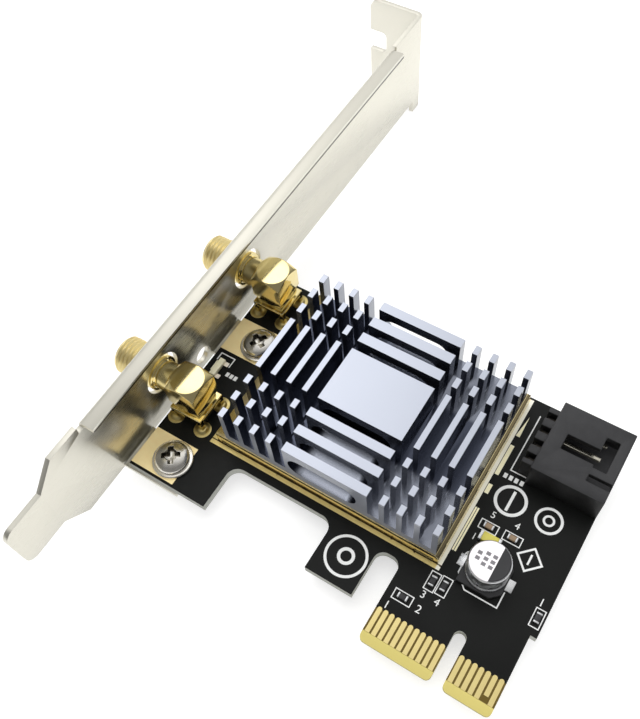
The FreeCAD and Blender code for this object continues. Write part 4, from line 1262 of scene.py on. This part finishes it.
class CARD_OT_stage(Dresser, bpy.types.Operator):
    """Set the floor, the soft lamps, the white surroundings and the camera"""

    bl_idname = "card.stage"
    bl_label = "Floor, lamps and camera"

    FLOOR_HALF = 1500
    FLOOR_SEEN, FLOOR_MIRRORED = 0.6, 0.43
    # Name, place, size and power of each lamp, all of them turned to one spot on the card
    LAMPS = (("top_lamp", (-60, 60, 260), (200, 200), 0.34), ("side_lamp", (190, -60, 140), (120, 120), 0.14),
             ("back_lamp", (-120, 220, 120), (140, 90), 0.14))
    LIT_SPOT = (-20, 30, 0)
    # Where each bright part of the surroundings lies, the cosines where it starts and is full, its strength
    LOBES = (((-0.45, 0.53, 0.72), 0.35, 0.88, 0.72), ((-0.42, 0.38, 0.825), 0.95, 0.99, 1.1))
    AROUND = 0.2
    # The camera as fitted to the card: picture, focal length and centre in pixels, place, and its three ways
    PICTURE, FOCAL, CENTRE = (640.0, 719.0), 831.787, (333.912, 383.700)
    SENSOR = 36.0
    EYE = (4.58, -21.31, 118.35)
    RIGHT, DOWN = (0.84925, 0.52528, -0.05334), (0.4339, -0.75191, -0.49635)
    AHEAD = (-0.30083, 0.39839, -0.86648)

    def rays(self, graph):
        """1 for what the camera sees, itself or through glass, and 1 for what glossy faces mirror."""
        path = graph.node("ShaderNodeLightPath")
        kinds = {socket.name: Link(graph, socket) for socket in path.socket.node.outputs}
        return kinds["Is Camera Ray"].most(kinds["Is Transmission Ray"]), kinds["Is Glossy Ray"]

    def floor(self, low):
        shape = bmesh.new()
        bmesh.ops.create_grid(shape, x_segments=1, y_segments=1, size=self.FLOOR_HALF)
        floor = linked("floor", as_mesh(shape, closed=False))
        floor.data.transform(Matrix.Translation((0, 0, low)))
        f = Finish("pale_floor")
        seen, mirrored = self.rays(f)
        base = f.mix(f.noise(0.05), (0.54, 0.54, 0.535), (0.58, 0.58, 0.575))
        matt = f.node("ShaderNodeBsdfDiffuse", {}, {"Color": base})
        strength = self.FLOOR_SEEN * seen + self.FLOOR_MIRRORED * mirrored
        glow = f.node("ShaderNodeEmission", {}, {"Color": (1, 1, 1, 1), "Strength": strength})
        floor.data.materials.append(f.ended(f.node("ShaderNodeAddShader", {}, {0: matt, 1: glow})))

    def surroundings(self, sky):
        """World that is white to the camera, and brighter above the card to what mirrors it."""
        world = bpy.data.worlds.new("studio")
        world.use_nodes = True
        world.node_tree.nodes.clear()
        g = Graph(world.node_tree)
        seen, mirrored = self.rays(g)
        way = g.node("ShaderNodeTexCoord", out="Generated")

        def lobe(direction, start, full):
            """1 towards the direction and 0 away from it, between two cosines."""
            near = g.node("ShaderNodeVectorMath", {"operation": "DOT_PRODUCT"},
                          {0: way, 1: direction}, "Value")
            return near.over((start + full) / 2, (full - start) / 2)

        shine = self.AROUND
        for direction, start, full, strength in self.LOBES:
            shine = shine + strength * lobe(direction, start, full)
        level = seen + (1 - seen) * (mirrored * shine + (1 - mirrored) * sky)
        g.close("ShaderNodeOutputWorld", g.node("ShaderNodeBackground", {}, {
            "Color": (1, 1, 1, 1), "Strength": level}))
        return world

    def lamp(self, name, place, size, power):
        light = bpy.data.lights.new(name, "AREA")
        light.shape = "RECTANGLE"
        light.size, light.size_y = size[0] * MM, size[1] * MM
        light.energy = power
        made = linked(name, light)
        made.location = Vector(place) * MM
        made.visible_glossy = False
        made.rotation_mode = "QUATERNION"
        made.rotation_quaternion = (Vector(self.LIT_SPOT) - Vector(place)).to_track_quat("-Z", "Y")

    def camera(self):
        camera = bpy.data.cameras.new("camera")
        wide, tall = self.PICTURE
        camera.sensor_width = self.SENSOR
        camera.lens = self.FOCAL * self.SENSOR / tall
        camera.shift_x = (wide / 2 - self.CENTRE[0]) / tall
        camera.shift_y = (self.CENTRE[1] - tall / 2) / tall
        camera.clip_start, camera.clip_end = 0.002, 10.0
        made = linked("camera", camera)
        turn = Matrix((self.RIGHT, [-v for v in self.DOWN], [-v for v in self.AHEAD])).transposed()
        made.matrix_world = Matrix.Translation(Vector(self.EYE) * MM) @ turn.to_4x4()
        return made

    def build(self, scene):
        settings = scene.card_stage
        self.floor(CAD_BOX[0].z - settings.floor_gap)
        scene.world = self.surroundings(settings.sky)
        for name, place, size, share in self.LAMPS:
            self.lamp(name, place, size, settings.lamp_power * share)
        scene.camera = self.camera()
        scene.view_settings.view_transform = "Standard"


OPERATORS = (CARD_OT_board, CARD_OT_bracket, CARD_OT_screws, CARD_OT_jacks, CARD_OT_lands, CARD_OT_print,
             CARD_OT_can, CARD_OT_heatsink, CARD_OT_header, CARD_OT_capacitor, CARD_OT_chips,
             CARD_OT_indicator, CARD_OT_stage)
GROUPS = {"card_jacks": CardJackSizes, "card_heatsink": CardHeatsinkSizes, "card_small": CardSmallSizes,
          "card_colours": CardColours, "card_stage": CardStageSettings}


class CARD_PT_panel(bpy.types.Panel):
    """Sizes, colours and steps of the card"""

    bl_idname = "CARD_PT_panel"
    bl_label = "Network card"
    bl_space_type = "VIEW_3D"
    bl_region_type = "UI"
    bl_category = "Card"

    def draw(self, context):
        for attribute, group in GROUPS.items():
            box = self.layout.box()
            for name in group.__annotations__:
                box.prop(getattr(context.scene, attribute), name)
        for operator in OPERATORS:
            self.layout.operator(operator.bl_idname)


def register():
    for made in (*GROUPS.values(), *OPERATORS, CARD_PT_panel):
        bpy.utils.register_class(made)
    for attribute, group in GROUPS.items():
        setattr(bpy.types.Scene, attribute, bpy.props.PointerProperty(type=group))


def unregister():
    for attribute in GROUPS:
        delattr(bpy.types.Scene, attribute)
    for made in reversed((*GROUPS.values(), *OPERATORS, CARD_PT_panel)):
        bpy.utils.unregister_class(made)


def main():
    register()
    for operator in OPERATORS:
        group, name = operator.bl_idname.split(".")
        getattr(getattr(bpy.ops, group), name)()


if __name__ == "__main__":
    main()
